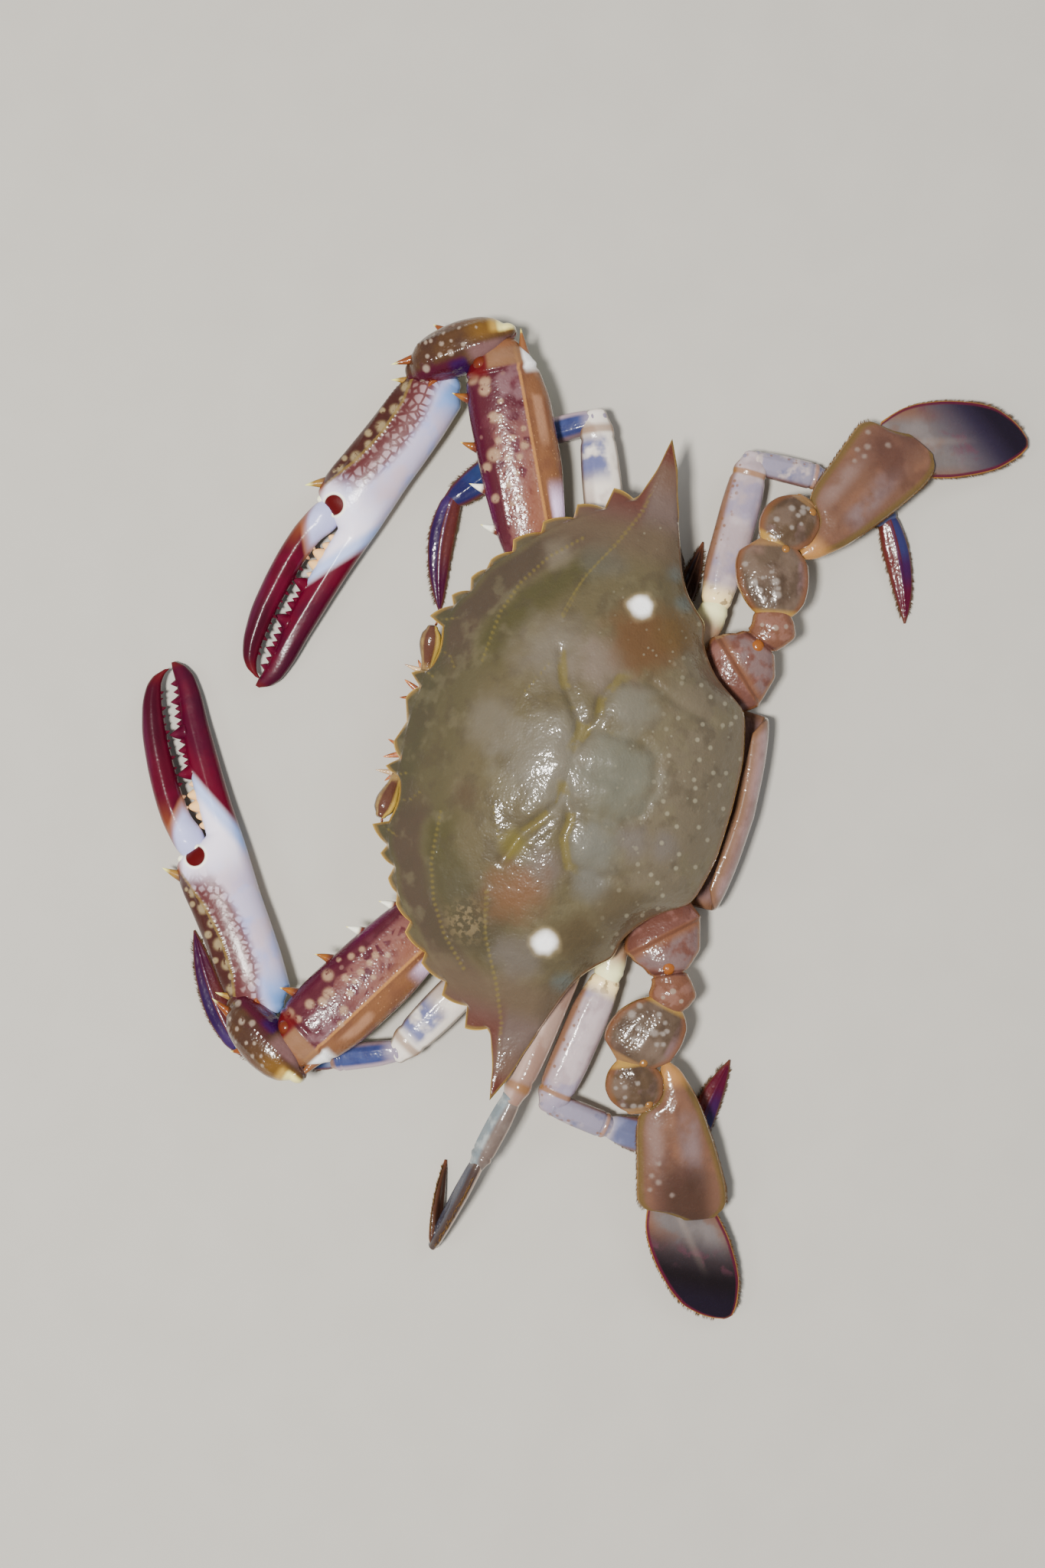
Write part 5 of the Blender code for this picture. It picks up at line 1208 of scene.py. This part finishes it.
def walking_leg(order, side_name):
    """Five pieces of one walking leg, and the hairs of its last two parts."""
    side = SIDES[side_name]
    joints = WALKING[order, side_name]
    raised = (order, side_name) == ("second", "left")
    roll = {"merus": 60.0, "carpus": 60.0, "propodus": 80.0, "dactyl": 60.0} if raised else {}
    bow = {"dactyl": DACTYL_BOW[order, side_name]}
    hairs = []
    tables = (("base", LEG_BASE, 0.9), ("merus", LEG_MERUS if order == "second" else WIDE_MERUS, 0.8),
              ("carpus", LEG_CARPUS, 0.85), ("propodus", LEG_PROPODUS, 1.0),
              ("dactyl", LEG_DACTYL if order == "second" else WIDE_DACTYL, 1.1))
    for k, (kind, table, square) in enumerate(tables):
        part = limb_part(joints[k], joints[k + 1], table, side, roll.get(kind, 0.0),
                         bow.get(kind, 0.0), square)
        piece = [limb_skin(part, 80 if k else 30, 52, SHAPES[kind])]
        label = "walking_leg_" + order + "_" + kind + "_" + side_name
        finished(label + "_shell", piece, LEG_SHELLS[order].get(kind, LEG_BASE_SHELL),
                 [label])
        if kind in LEG_FRINGES:
            seed = 10 * k + len(order) + int(side)
            hairs += [fringe(part, REAR, *LEG_FRINGES[kind], 1.2, seed, 0.9),
                      fringe(part, FRONT, *LEG_FRINGES[kind], 1.0, seed + 1, 0.9)]
    finished("walking_leg_" + order + "_hairs_" + side_name, hairs, HAIR)


for order in ("first", "second", "third"):
    for side_name in SIDES:
        walking_leg(order, side_name)
print("walking legs done")

# %% [markdown]
# The last pair of legs are the crab's paddles. Their parts are wide and flat: short rounded
# ones near the body, brown with white spots, then an orange-brown plate, and at the end a thin
# oval blade that goes from lilac grey to violet black and has a crimson and golden rim.

# %% Tables and places of the swimming legs
SWIMMING = {"left": [(27.0, 32.0, 11.5), (53.7, 38.8, 14.8), (69.1, 35.5, 14.4), (75.5, 42.7, 12.2),
                     (104.5, 54.0, 8.8)],
            "right": [(-27.0, 32.0, 11.5), (-53.0, 38.8, 14.8), (-69.4, 35.5, 14.4), (-76.8, 42.2, 12.2),
                      (-105.9, 55.8, 9.0)]}
PADDLE = {"left": [(101.0, 55.5, 8.0), (126.8, 77.0, 3.2)],
          "right": [(-102.0, 57.0, 8.0), (-112.8, 90.4, 3.2)]}
SWIMMING_CARPUS_END = {"left": (79.0, 40.0, 12.8), "right": (-80.5, 40.0, 12.8)}
SWIM_BASE = [(0.0, -9.0, 5.0, 3.6), (0.2, -11.4, 7.8, 4.4), (0.42, -11.6, 7.8, 4.5), (0.55, -9.8, 6.0, 4.1),
             (0.65, -6.4, 4.6, 3.5), (0.76, -4.7, 5.9, 3.5), (0.88, -5.1, 6.5, 3.4), (0.97, -4.8, 5.2, 2.8),
             (1.03, -3.4, 3.2, 2.2)]
SWIM_MERUS = [(-0.08, -5.0, 3.0, 1.9), (0.03, -7.4, 5.0, 2.8), (0.2, -9.6, 6.6, 3.2), (0.45, -11.6, 7.2, 3.3),
              (0.72, -12.2, 6.8, 3.2), (0.9, -11.6, 5.0, 2.9), (1.05, -8.4, 2.4, 2.4),
              (1.14, -6.0, -1.0, 1.6)]
SWIM_CARPUS = [(-0.14, -6.2, -0.4, 1.7), (0.02, -8.2, 2.2, 2.6), (0.22, -9.6, 4.0, 3.1),
               (0.48, -10.3, 5.0, 3.3), (0.75, -9.6, 4.6, 3.1), (0.97, -7.7, 3.0, 2.5),
               (1.12, -5.6, 0.4, 1.5)]
SWIM_PROPODUS = [(-0.25, 1.0, 3.2, 1.0), (-0.18, 0.3, 5.4, 1.9), (-0.06, -0.3, 7.4, 2.6),
                 (0.06, -1.6, 9.1, 3.0), (0.17, -6.2, 10.2, 3.2), (0.32, -7.4, 11.4, 3.2),
                 (0.52, -7.9, 12.8, 3.0), (0.72, -8.5, 13.9, 2.7), (0.88, -8.8, 14.5, 2.4),
                 (0.97, -7.4, 14.3, 2.1), (1.03, -1.6, 13.6, 1.8), (1.09, 2.2, 11.4, 1.1)]
SWIM_PADDLE = [(-0.07, -8.4, -2.0, 1.0), (0.02, -10.4, 3.0, 1.5), (0.12, -12.0, 5.4, 1.7),
               (0.25, -13.0, 6.8, 1.7), (0.42, -13.4, 7.0, 1.6), (0.6, -13.0, 6.4, 1.4),
               (0.77, -11.7, 5.2, 1.2), (0.9, -9.0, 3.2, 1.0), (0.99, -5.8, 1.2, 0.7),
               (1.04, -3.0, -0.6, 0.4)]
SWIM_FRINGES = {"propodus": (0.12, 0.98, 300), "paddle": (0.02, 1.0, 340)}
BASE_HINGES = [(0.62, 1.45, 1.9), (0.99, 2.4, 1.3)]

# %% [markdown]
# The white spots are listed like those of the claws. Each part of a swimming leg has its own
# relief: slanting steps on the base, ribs on the plates, and a midrib on the paddle.

# %% Dots and shapes of the swimming leg parts
SWIM_DOTS = {
    ("base", "right"): [(0.86, 1.0, 0.9), (0.92, 3.2, 0.7), (0.82, -2.2, 0.6)],
    ("base", "left"): [(0.84, 0.6, 0.9), (0.93, 2.8, 0.7), (0.9, -1.8, 0.6)],
    ("merus", "right"): [(0.25, -1.0, 1.1), (0.35, -1.0, 0.7), (0.45, -1.7, 1.1), (0.17, -4.4, 0.8),
                         (0.3, -5.6, 0.9), (0.42, -7.4, 1.0), (0.18, -2.2, 0.6), (0.5, -5.0, 0.6),
                         (0.7, -9.8, 0.8), (0.6, -2.9, 0.6)],
    ("merus", "left"): [(0.45, -0.8, 1.1), (0.4, 1.2, 0.7), (0.33, 1.9, 0.7), (0.6, 1.1, 0.7),
                        (0.5, -5.0, 0.8), (0.7, -4.6, 0.6), (0.35, -8.2, 1.1), (0.14, -2.0, 0.7),
                        (0.22, 0.4, 0.7), (0.55, 2.6, 0.7), (0.5, -2.8, 0.6), (0.17, -7.4, 0.8)],
    ("carpus", "right"): [(0.75, -4.6, 0.9), (0.83, -1.8, 1.0), (0.92, -2.4, 0.8), (0.35, -6.0, 0.8),
                          (0.7, -2.2, 0.7), (0.98, -1.2, 0.7), (0.6, -0.2, 0.6), (0.4, -1.6, 0.7)],
    ("carpus", "left"): [(0.45, -5.2, 0.7), (0.7, -5.6, 0.6), (0.45, -7.6, 0.6), (0.96, -3.8, 0.9),
                         (1.0, -2.0, 0.8), (0.9, -6.4, 0.7), (0.4, -1.8, 0.7)],
    ("propodus", "right"): [(0.78, -3.4, 1.0), (0.71, -5.0, 0.8), (0.7, -2.4, 0.8), (0.88, -5.8, 0.8),
                            (0.9, 0.4, 0.9), (0.62, -3.6, 0.7)],
    ("propodus", "left"): [(0.74, -3.0, 0.9), (0.68, -4.6, 0.8), (0.8, -5.4, 0.7), (0.86, 0.2, 0.8),
                           (0.58, -2.4, 0.7)]}


def lobes(share, angle, side):
    """The wide base is really three plates that overlap: slanting steps part them."""
    past = slant(share, angle, side)
    step = 0.6 * fade(past, -0.3, -0.04) * fade(past, 0.03, -0.03)
    return step - 1.0 * wall(share, 0.675 - 0.006 * side, 0.014) + 0.4 * wall(share, 0.86, 0.06)


def slant(share, angle, side):
    """How far past the slanting step between the first two plates of the base."""
    return share - 0.3 + 0.02 * side


def plate(share, angle, side):
    """A raised rim round a flat plate, and two low ribs with a groove between them."""
    cos = np.cos(angle)
    rim = 0.3 * wall(np.abs(cos), 0.92, 0.05) * fade(share, -0.05, 0.15)
    ribs = 0.26 * wall(cos, 0.1, 0.1) - 0.2 * wall(cos, 0.34, 0.12) + 0.15 * wall(cos, -0.45, 0.12)
    return rim + ribs * np.sin(angle) ** 2 * fade(share, 0.0, 0.2) * fade(share, 1.0, 0.8)


def blade(share, angle, side):
    """The paddle: a thin raised rim, a midrib and faint ribs that spread from its root."""
    cos = np.cos(angle)
    face = np.sin(angle) ** 2
    ribs = 0.04 * np.cos(cos * 20.0 + share * 3.0) * face
    midrib = 0.22 * wall(cos, 0.12 - 0.1 * share, 0.09) - 0.14 * wall(cos, -0.08 - 0.1 * share, 0.1)
    ends = fade(share, -0.05, 0.15) * fade(share, 1.0, 0.85)
    return 0.2 * wall(np.abs(cos), 0.96, 0.03) + (midrib * face + ribs) * ends


def paddle_dusk(share, angle, side):
    """How far past the slanting line where the paddle turns violet black."""
    return share - 0.64 - 0.022 * side


# %% [markdown]
# The spots on the short parts lie under a clear layer, so their edges are soft. The thin plates
# let light through, which the subsurface part of the finish imitates.

# %% Finishes of the swimming legs
SHORT_LAYERS = [("#3e3026", 0.8, ("clouds", 6.0, 0.45, 0.6, 1.0)),
                ("#615146", 0.7, ("clouds", 8.0, 0.48, 0.62, 4.0)), ("#654028", 0.85, ("rim", 2.4, 0.5)),
                ("#7d736c", 0.85, ("dots", 0.15, 0.8)), ("#946b28", 0.85, ("rim", 0.35, 0.1)),
                ("#a9843d", 0.7, ("along", 0.06, -0.05)), ("#83623d", 0.7, ("along", 0.98, 1.05)),
                ("#eacb93", 0.85, ("upward", -0.3, -0.7)), ("#78512a", 0.9, ("ball", 0.3, 0.7))]
SWIM_SHELLS = {
    "base": wet_shell(
        "red_brown_thin_cuticle", "#5a3931",
        [("#77544e", 0.7, ("clouds", 5.0, 0.48, 0.62, 1.0)),
         ("#675554", 0.85, ("slant", 0.0, 0.06), ("along", 0.66, 0.6), ("clouds", 4.0, 0.36, 0.55, 5.0)),
         ("#6c462f", 0.8, ("slant", 0.12, 0.02), ("slant", -0.05, -0.01)),
         ("#613f2e", 0.85, ("along", 0.67, 0.71)),
         ("#7b584d", 0.6, ("along", 0.72, 0.78), ("clouds", 3.5, 0.47, 0.6, 8.0)),
         ("#3d1f1a", 0.4, ("slant", -0.03, -0.008), ("slant", 0.03, 0.004)),
         ("#3d1f1a", 0.6, ("along", 0.645, 0.67), ("along", 0.7, 0.68)), ("#774d2c", 0.8, ("rim", 1.2, 0.3)),
         ("#88796c", 0.7, ("dots", 0.3, 0.7)), ("#e8c58f", 0.85, ("upward", -0.3, -0.7)),
         ("#7f481b", 0.95, ("ball", 0.3, 0.7))],
        bumps=[GRAINS, (0.2, "clouds", 3.5, 0.3, 0.7, 12.0)], roughness=0.27),
    "merus": wet_shell(
        "brown_white_spotted_cuticle", "#4d3f33",
        [("#705758", 0.7, ("side", 3.4, 4.6), ("side", 7.4, 6.2)),
         ("#6c554b", 0.7, ("along", 0.8, 0.95), ("side", -4.0, -6.5))]
        + SHORT_LAYERS, bumps=[GRAINS, SWELLS], roughness=0.24),
    "carpus": wet_shell(
        "dark_brown_spotted_cuticle", "#483829",
        [("#59441b", 0.8, ("side", -7.4, -9.0)),
         ("#604c49", 0.6, ("clouds", 5.0, 0.5, 0.62, 8.0))] + SHORT_LAYERS,
        bumps=[GRAINS, SWELLS], roughness=0.24),
    "propodus": wet_shell(
        "orange_brown_thin_cuticle", "#604436",
        [("#6c4b3a", 0.7, ("clouds", 8.0, 0.46, 0.6, 1.0)),
         ("#735d57", 0.8, ("side", -6.5, -3.0), ("side", 1.0, -2.5), ("along", 0.05, 0.3),
          ("along", 0.85, 0.5), ("clouds", 7.0, 0.3, 0.55, 5.0)),
         ("#6d5c5d", 0.75, ("side", 2.0, 5.5), ("side", 10.5, 7.0), ("along", 0.1, 0.3),
          ("along", 0.95, 0.6), ("clouds", 7.0, 0.3, 0.55, 7.0)),
         ("#472f2a", 0.6, ("along", 0.5, 0.85), ("side", -7.5, -2.5), ("side", 11.0, 4.0)),
         ("#38261d", 0.85, ("left", 0.0, 1.0), ("along", 0.5, 0.78), ("side", -5.0, 1.0),
          ("side", 12.5, 7.0)), ("#422a23", 0.5, ("clouds", 9.0, 0.5, 0.64, 3.0)),
         ("#574624", 0.85, ("rim", 2.4, 1.0)), ("#81726a", 0.6, ("dots", 0.15, 0.9)),
         ("#886227", 0.85, ("rim", 0.5, 0.15)), ("#ad7b45", 0.7, ("along", 0.0, -0.15)),
         ("#d3b081", 0.8, ("upward", -0.3, -0.8))],
        bumps=[(0.05, "spots", 0.9, 0.0, 0.6, 2.0), SWELLS], roughness=0.24, glow=0.12),
    "paddle": wet_shell(
        "violet_black_thin_cuticle", "#5c5554",
        [("#6b6362", 0.7, ("clouds", 8.0, 0.46, 0.6, 1.0)), ("#61493f", 0.7, ("clouds", 7.0, 0.5, 0.62, 3.0)),
         ("#664330", 0.85, ("side", -6.5, -11.0)), ("#664330", 0.6, ("side", 3.0, 7.0)),
         ("#403942", 0.9, ("dusk", -0.35, 0.0)), ("#21192c", 0.95, ("dusk", -0.1, 0.18)),
         ("#251c1d", 0.85, ("dusk", -0.4, -0.05), ("left", 0.0, 1.0)),
         ("#0b0407", 0.9, ("dusk", -0.15, 0.12), ("left", 0.0, 1.0)), ("#120917", 0.95, ("dusk", 0.1, 0.34)),
         ("#532d3a", 0.5, ("dusk", -0.25, -0.1), ("dusk", 0.05, -0.05), ("clouds", 4.0, 0.5, 0.62, 8.0)),
         ("#a59384", 0.1, ("across", -0.1, 0.06), ("across", 0.22, 0.08), ("dusk", 0.1, -0.2)),
         ("#480b23", 0.9, ("rim", 1.2, 0.7)), ("#886026", 0.92, ("rim", 0.5, 0.3)),
         ("#693c25", 0.9, ("along", 1.02, 1.05)),
         ("#ccb28a", 0.7, ("upward", -0.4, -0.9), ("along", 0.7, 0.3))],
        bumps=[(0.05, "clouds", 1.2, 0.3, 0.7, 12.0)], roughness=0.24, glow=0.08)}


def swimming_leg(side_name):
    """Five pieces of one swimming leg, hinge balls, and the hair fringe of its two plates."""
    side = SIDES[side_name]
    joints = SWIMMING[side_name]
    hairs = []
    rows = (("base", SWIM_BASE, joints[0], joints[1], 0.9, lobes),
            ("merus", SWIM_MERUS, joints[1], joints[2], 0.85, plate),
            ("carpus", SWIM_CARPUS, joints[2], SWIMMING_CARPUS_END[side_name], 0.85, plate),
            ("propodus", SWIM_PROPODUS, joints[3], joints[4], 1.0, plate),
            ("paddle", SWIM_PADDLE, *PADDLE[side_name], 1.3, blade))
    for k, (kind, table, start, end, square, shape) in enumerate(rows):
        part = limb_part(start, end, table, side, square=square)
        piece = [limb_skin(part, 130, 80, shape, SWIM_DOTS.get((kind, side_name), ()),
                           {"dusk": paddle_dusk, "slant": slant, "left": lambda *place: max(side, 0.0)})]
        if kind == "base":
            for share, angle, radius in BASE_HINGES:
                piece.append(ball_skin(limb_at(part, share, angle, -0.9), (radius, radius, radius * 0.7),
                                       {"ball": 1.0, "upward": 0.5}))
        if kind in ("merus", "carpus"):
            piece.append(ball_skin(limb_at(part, 0.97, 1.0, -0.7), (1.3, 1.3, 1.1),
                                   {"ball": 1.0, "upward": 0.5}))
        label = "swimming_leg_" + kind + "_" + side_name
        finished(label + "_shell", piece, SWIM_SHELLS[kind], [label])
        if kind in SWIM_FRINGES:
            hairs += [fringe(part, REAR, *SWIM_FRINGES[kind], 1.1, 70 + k, 0.9),
                      fringe(part, FRONT, *SWIM_FRINGES[kind], 1.1, 80 + k, 0.9)]
    finished("swimming_leg_hairs_" + side_name, hairs, HAIR)


for side_name in SIDES:
    swimming_leg(side_name)
print("swimming legs done")

# %% [markdown]
# Under the shield the body narrows to the breast plate. The tail flap of a female is broad; it
# comes out behind the shield, folds round the rear and lies flat under the breast. Both are
# pale, and grooves part their segments.

# %% Breast and tail flap
STERNUM_HEIGHT = 3.8
STERNUM = (28.0, 31.0, 5.0)
BREAST_GROOVES = (-14.0, -5.0, 5.0, 15.0, 25.0)
FLANK_RINGS = 34
BREAST_RINGS = 18
FLANK = [(BODY_SPLIT - 0.3, 0.0, 0.0), (14.4, 0.34, 0.1), (12.0, 0.6, 0.26), (9.0, 0.82, 0.5),
         (6.2, 0.94, 0.78), (STERNUM_HEIGHT, 1.0, 1.0)]
ABDOMEN = [(40.6, 14.6, 21.0, 0.8), (42.2, 13.6, 24.0, 1.5), (43.4, 11.0, 25.6, 1.7), (43.6, 8.0, 26.2, 1.7),
           (42.3, 4.8, 26.6, 1.7), (39.4, 2.6, 26.8, 1.7), (35.0, 1.75, 27.2, 1.75), (26.0, 1.65, 27.6, 1.75),
           (15.0, 1.65, 26.8, 1.75), (4.0, 1.65, 23.4, 1.75), (-5.0, 1.65, 17.0, 1.75),
           (-12.0, 1.65, 9.0, 1.7), (-16.5, 1.6, 4.6, 1.6), (-18.6, 1.5, 1.6, 1.1)]
SEGMENTS = (0.1, 0.2, 0.31, 0.45, 0.6, 0.76)
ABDOMEN_ARCH = 1.8


def thorax_skin():
    """Loops from under the shield down the flank to the breast plate, then in to its middle.
    A row of FLANK has a height and how far the sides and the front have come in there. The
    breast is an ellipse; grooves run across it between the legs."""
    top = inward(plain_edge[None], [0.9])[0]
    turn = np.arctan2((top[:, 1] - 3.0) / 42.0, top[:, 0] / 62.0)
    wide, long, middle = STERNUM
    bottom = np.column_stack([wide * np.cos(turn), middle + long * np.sin(turn)])
    front = np.clip((-top[:, 1] - 30.0) / 10.0, 0.0, 1.0) * np.clip((26.0 - abs(top[:, 0])) / 10.0, 0.0, 1.0)
    steps = np.arange(float(len(FLANK)))
    height, flank, face = between(np.linspace(0.0, steps[-1], FLANK_RINGS), steps, FLANK).T
    share = flank[:, None] + (face - flank)[:, None] * front
    sides = top + (bottom - top) * share[..., None]
    inner = np.linspace(0.96, 0.04, BREAST_RINGS)
    breast = (0.0, middle) + (bottom - (0.0, middle)) * inner[:, None, None]
    x, y = breast[..., 0], breast[..., 1]
    grooves = sum(wall(y + 0.22 * np.abs(x), at, 0.7) for at in BREAST_GROOVES) + wall(x, 0.0, 0.9)
    dish = 0.7 * grooves * fade(inner, 0.95, 0.8)[:, None]
    lid_shares = np.linspace(0.2, 0.88, 4)
    lid = inward(np.broadcast_to(plain_edge, (len(lid_shares), *plain_edge.shape)), lid_shares)
    level = np.concatenate([np.full(lid.shape[:2], FLANK[0][0]),
                            np.broadcast_to(height[:, None], share.shape), STERNUM_HEIGHT + dish])
    flanks = np.concatenate([np.zeros(len(lid)), np.sin(np.linspace(0.0, math.pi, FLANK_RINGS)),
                             np.zeros(BREAST_RINGS)])[:, None]
    no_grooves = np.zeros((len(lid) + FLANK_RINGS, len(top)))
    marks = {"groove": np.concatenate([no_grooves, np.minimum(grooves, 1.0)]), "flank": flanks}
    return skin(np.dstack([np.concatenate([lid, sides, breast]), level]), marks)


def abdomen_skin():
    """An oval section swept along the folded path, with a groove at each segment and a keel."""
    rows = np.array(ABDOMEN)
    run = np.concatenate([[0.0], np.cumsum(np.hypot(*np.diff(rows[:, :2], axis=0).T))])
    reach = np.linspace(0.0, run[-1], 150)
    place, height, half, depth = between(reach, run, rows).T
    ahead = np.gradient(np.stack([place, height]), axis=1)
    ahead /= np.hypot(*ahead)
    angle = 2.0 * math.pi * np.arange(72)[None, :] / 72
    cos, sin = np.cos(angle), np.sin(angle)
    share = (reach / run[-1])[:, None]
    groove = sum(wall(share, at + 0.02 * cos ** 2, 0.006) for at in SEGMENTS)
    keel = 0.25 * wall(cos, 0.0, 0.12) * fade(share, 0.0, 0.1) * fade(share, 0.4, 0.3)
    lift = (depth[:, None] - 0.35 * groove) * np.sign(sin) * np.abs(sin) ** 0.6 + keel * np.sign(sin)
    arch = ABDOMEN_ARCH * sin ** 2 * np.clip((place[:, None] - 34.0) / 6.0, 0.0, 1.0)
    rings = np.stack([half[:, None] * cos, place[:, None] + arch - ahead[1][:, None] * lift,
                      np.maximum(height[:, None] + ahead[0][:, None] * lift, FLOOR_GAP)], -1)
    return skin(rings, {"along": share, "across": cos, "groove": groove})


BREAST_SHELL = wet_shell(
    "cream_breast_cuticle", "#e6c494",
    [("#936e54", 0.6, ("clouds", 7.0, 0.48, 0.62, 1.0)), ("#754e39", 0.75, ("groove", 0.3, 0.9)),
     ("#7b5a40", 0.6, ("flank", 0.4, 1.0), ("clouds", 5.0, 0.45, 0.6, 3.0)),
     ("#f7f7d1", 0.6, ("clouds", 11.0, 0.5, 0.62, 5.0))],
    bumps=[GRAINS], roughness=0.35)
FLAP_SHELL = wet_shell(
    "pale_lilac_flap_cuticle", "#795f5b",
    [("#977c7d", 0.7, ("clouds", 9.0, 0.45, 0.6, 1.0)), ("#6a4d32", 0.8, ("along", 0.035, 0.0)),
     ("#684b32", 0.6, ("groove", 0.3, 0.9)), ("#65462d", 0.8, ("across", 0.86, 0.98)),
     ("#65462d", 0.8, ("across", -0.86, -0.98)), ("#dfbd9b", 0.8, ("along", 0.25, 0.4))],
    bumps=[GRAINS], roughness=0.28)
lower_teeth = [spine_skin((x * 13.0, -40.0, 12.6), (x * 14.2, -51.4, 14.4), 1.9, 0.8, marks={"flank": 1.0})
               for x in SIDES.values()]
finished("underside", [thorax_skin()] + lower_teeth, BREAST_SHELL, ["thorax"])
finished("tail_flap", [abdomen_skin()], FLAP_SHELL, ["abdomen"])

# %% [markdown]
# The eyes stand on short stalks in their sockets and look sideways. Between them two pairs of
# feelers are folded. Below, two hinged plates close over the mouth like doors.

# %% Eyes, feelers and mouthparts
EYE = [(9.0, -44.6, 13.9), (24.6, -46.6, 17.4)]
EYE_TABLE = [(-0.05, -1.1, 1.1, 1.1), (0.1, -1.6, 1.6, 1.6), (0.45, -1.7, 1.7, 1.7), (0.62, -2.4, 2.4, 2.3),
             (0.78, -2.9, 2.9, 2.8), (0.92, -2.6, 2.6, 2.5), (1.02, -1.5, 1.5, 1.5)]
ANTENNA = [(10.4, -42.0, 11.8), (31.0, -45.2, 11.4)]
ANTENNA_TABLE = [(-0.02, -1.4, 1.4, 1.3), (0.08, -1.7, 1.7, 1.5), (0.2, -1.5, 1.3, 1.2),
                 (0.3, -1.1, 0.7, 0.9), (0.4, -0.6, 0.2, 0.45), (0.7, -0.5, 0.2, 0.4),
                 (1.0, -0.35, 0.25, 0.3)]
INNER_FEELERS = [([(7.6, -44.0, 14.6), (10.4, -50.2, 15.6)], 1.2, 0.2),
                 ([(7.0, -45.0, 14.0), (5.6, -50.4, 13.2)], 0.9, 0.5),
                 ([(10.5, -43.5, 13.4), (16.4, -48.4, 13.0)], 1.1, 0.3)]
MOUTHPART = [(5.3, -42.6, 12.4), (4.9, -26.4, 3.2)]
MOUTHPART_TABLE = [(-0.04, -2.6, 2.6, 0.8), (0.05, -4.4, 4.2, 1.3), (0.26, -5.2, 4.7, 1.6),
                   (0.42, -4.9, 4.6, 1.5), (0.75, -4.6, 4.4, 1.5), (0.95, -3.6, 3.4, 1.3),
                   (1.03, -2.2, 2.0, 0.8)]
EYE_SHELL = wet_shell(
    "amber_eye_cuticle", "#6b5438",
    [("#897044", 0.7, ("clouds", 2.0, 0.45, 0.6, 1.0)),
     ("#251307", 0.95, ("along", 0.58, 0.66), ("upward", 0.6, 0.2)),
     ("#472823", 0.9, ("along", 0.4, 0.5), ("upward", 0.75, 0.9)),
     ("#bca048", 0.8, ("across", 0.35, 0.75), ("upward", 0.2, 0.5))],
    bumps=[(0.04, "spots", 0.5, 0.0, 0.6, 1.0)], roughness=0.16, coat=0.9)
FEELER_SHELL = wet_shell(
    "orange_feeler_cuticle", "#7f4422",
    [("#d1834b", 0.8, ("clouds", 1.8, 0.45, 0.6, 1.0)), ("#5d2f20", 0.7, ("along", 0.4, 0.6)),
     ("#83544a", 0.5, ("clouds", 2.6, 0.5, 0.6, 3.0))],
    roughness=0.26)
MOUTH_SHELL = wet_shell(
    "pinkish_mouth_cuticle", "#a97e69",
    [("#744938", 0.7, ("clouds", 4.0, 0.48, 0.62, 1.0)), ("#f7ddab", 0.7, ("across", 0.0, 0.6)),
     ("#693e2f", 0.7, ("along", 0.06, -0.04))],
    bumps=[GRAINS], roughness=0.33)


def mirrored(ends, side):
    """The two ends of a part of the left side, or of its mirror image."""
    return [(x * side, y, z) for x, y, z in ends]


def feeler_rings(share, angle, side):
    """Fine rings along the thin outer two thirds of a feeler."""
    return 0.06 * np.cos(share * 150.0) * fade(share, 0.36, 0.42)


def mouth_lines(share, angle, side):
    """The seam between the two plates of a mouthpart and a groove along its inner side."""
    return -0.4 * wall(share, 0.3, 0.02) - 0.25 * wall(np.cos(angle), -0.4, 0.1) * fade(share, 0.32, 0.4)


for side_name, side in SIDES.items():
    finished("eye_shell_" + side_name, [limb_skin(limb_part(*mirrored(EYE, side), EYE_TABLE, side), 50, 36)],
             EYE_SHELL, ["eye_" + side_name])
    feeler = limb_part(*mirrored(ANTENNA, side), ANTENNA_TABLE, side, bow=-2.6)
    inner = [spine_skin(*mirrored(ends, side), radius, 0.6, marks={"along": along})
             for ends, radius, along in INNER_FEELERS]
    finished("feeler_shell_" + side_name, [limb_skin(feeler, 160, 20, feeler_rings)] + inner,
             FEELER_SHELL, ["antenna_" + side_name])
    mouthpart = limb_part(*mirrored(MOUTHPART, side), MOUTHPART_TABLE, side, square=0.8)
    finished("mouthpart_shell_" + side_name, [limb_skin(mouthpart, 60, 44, mouth_lines)],
             MOUTH_SHELL, ["maxilliped_" + side_name])
print("body and face done")
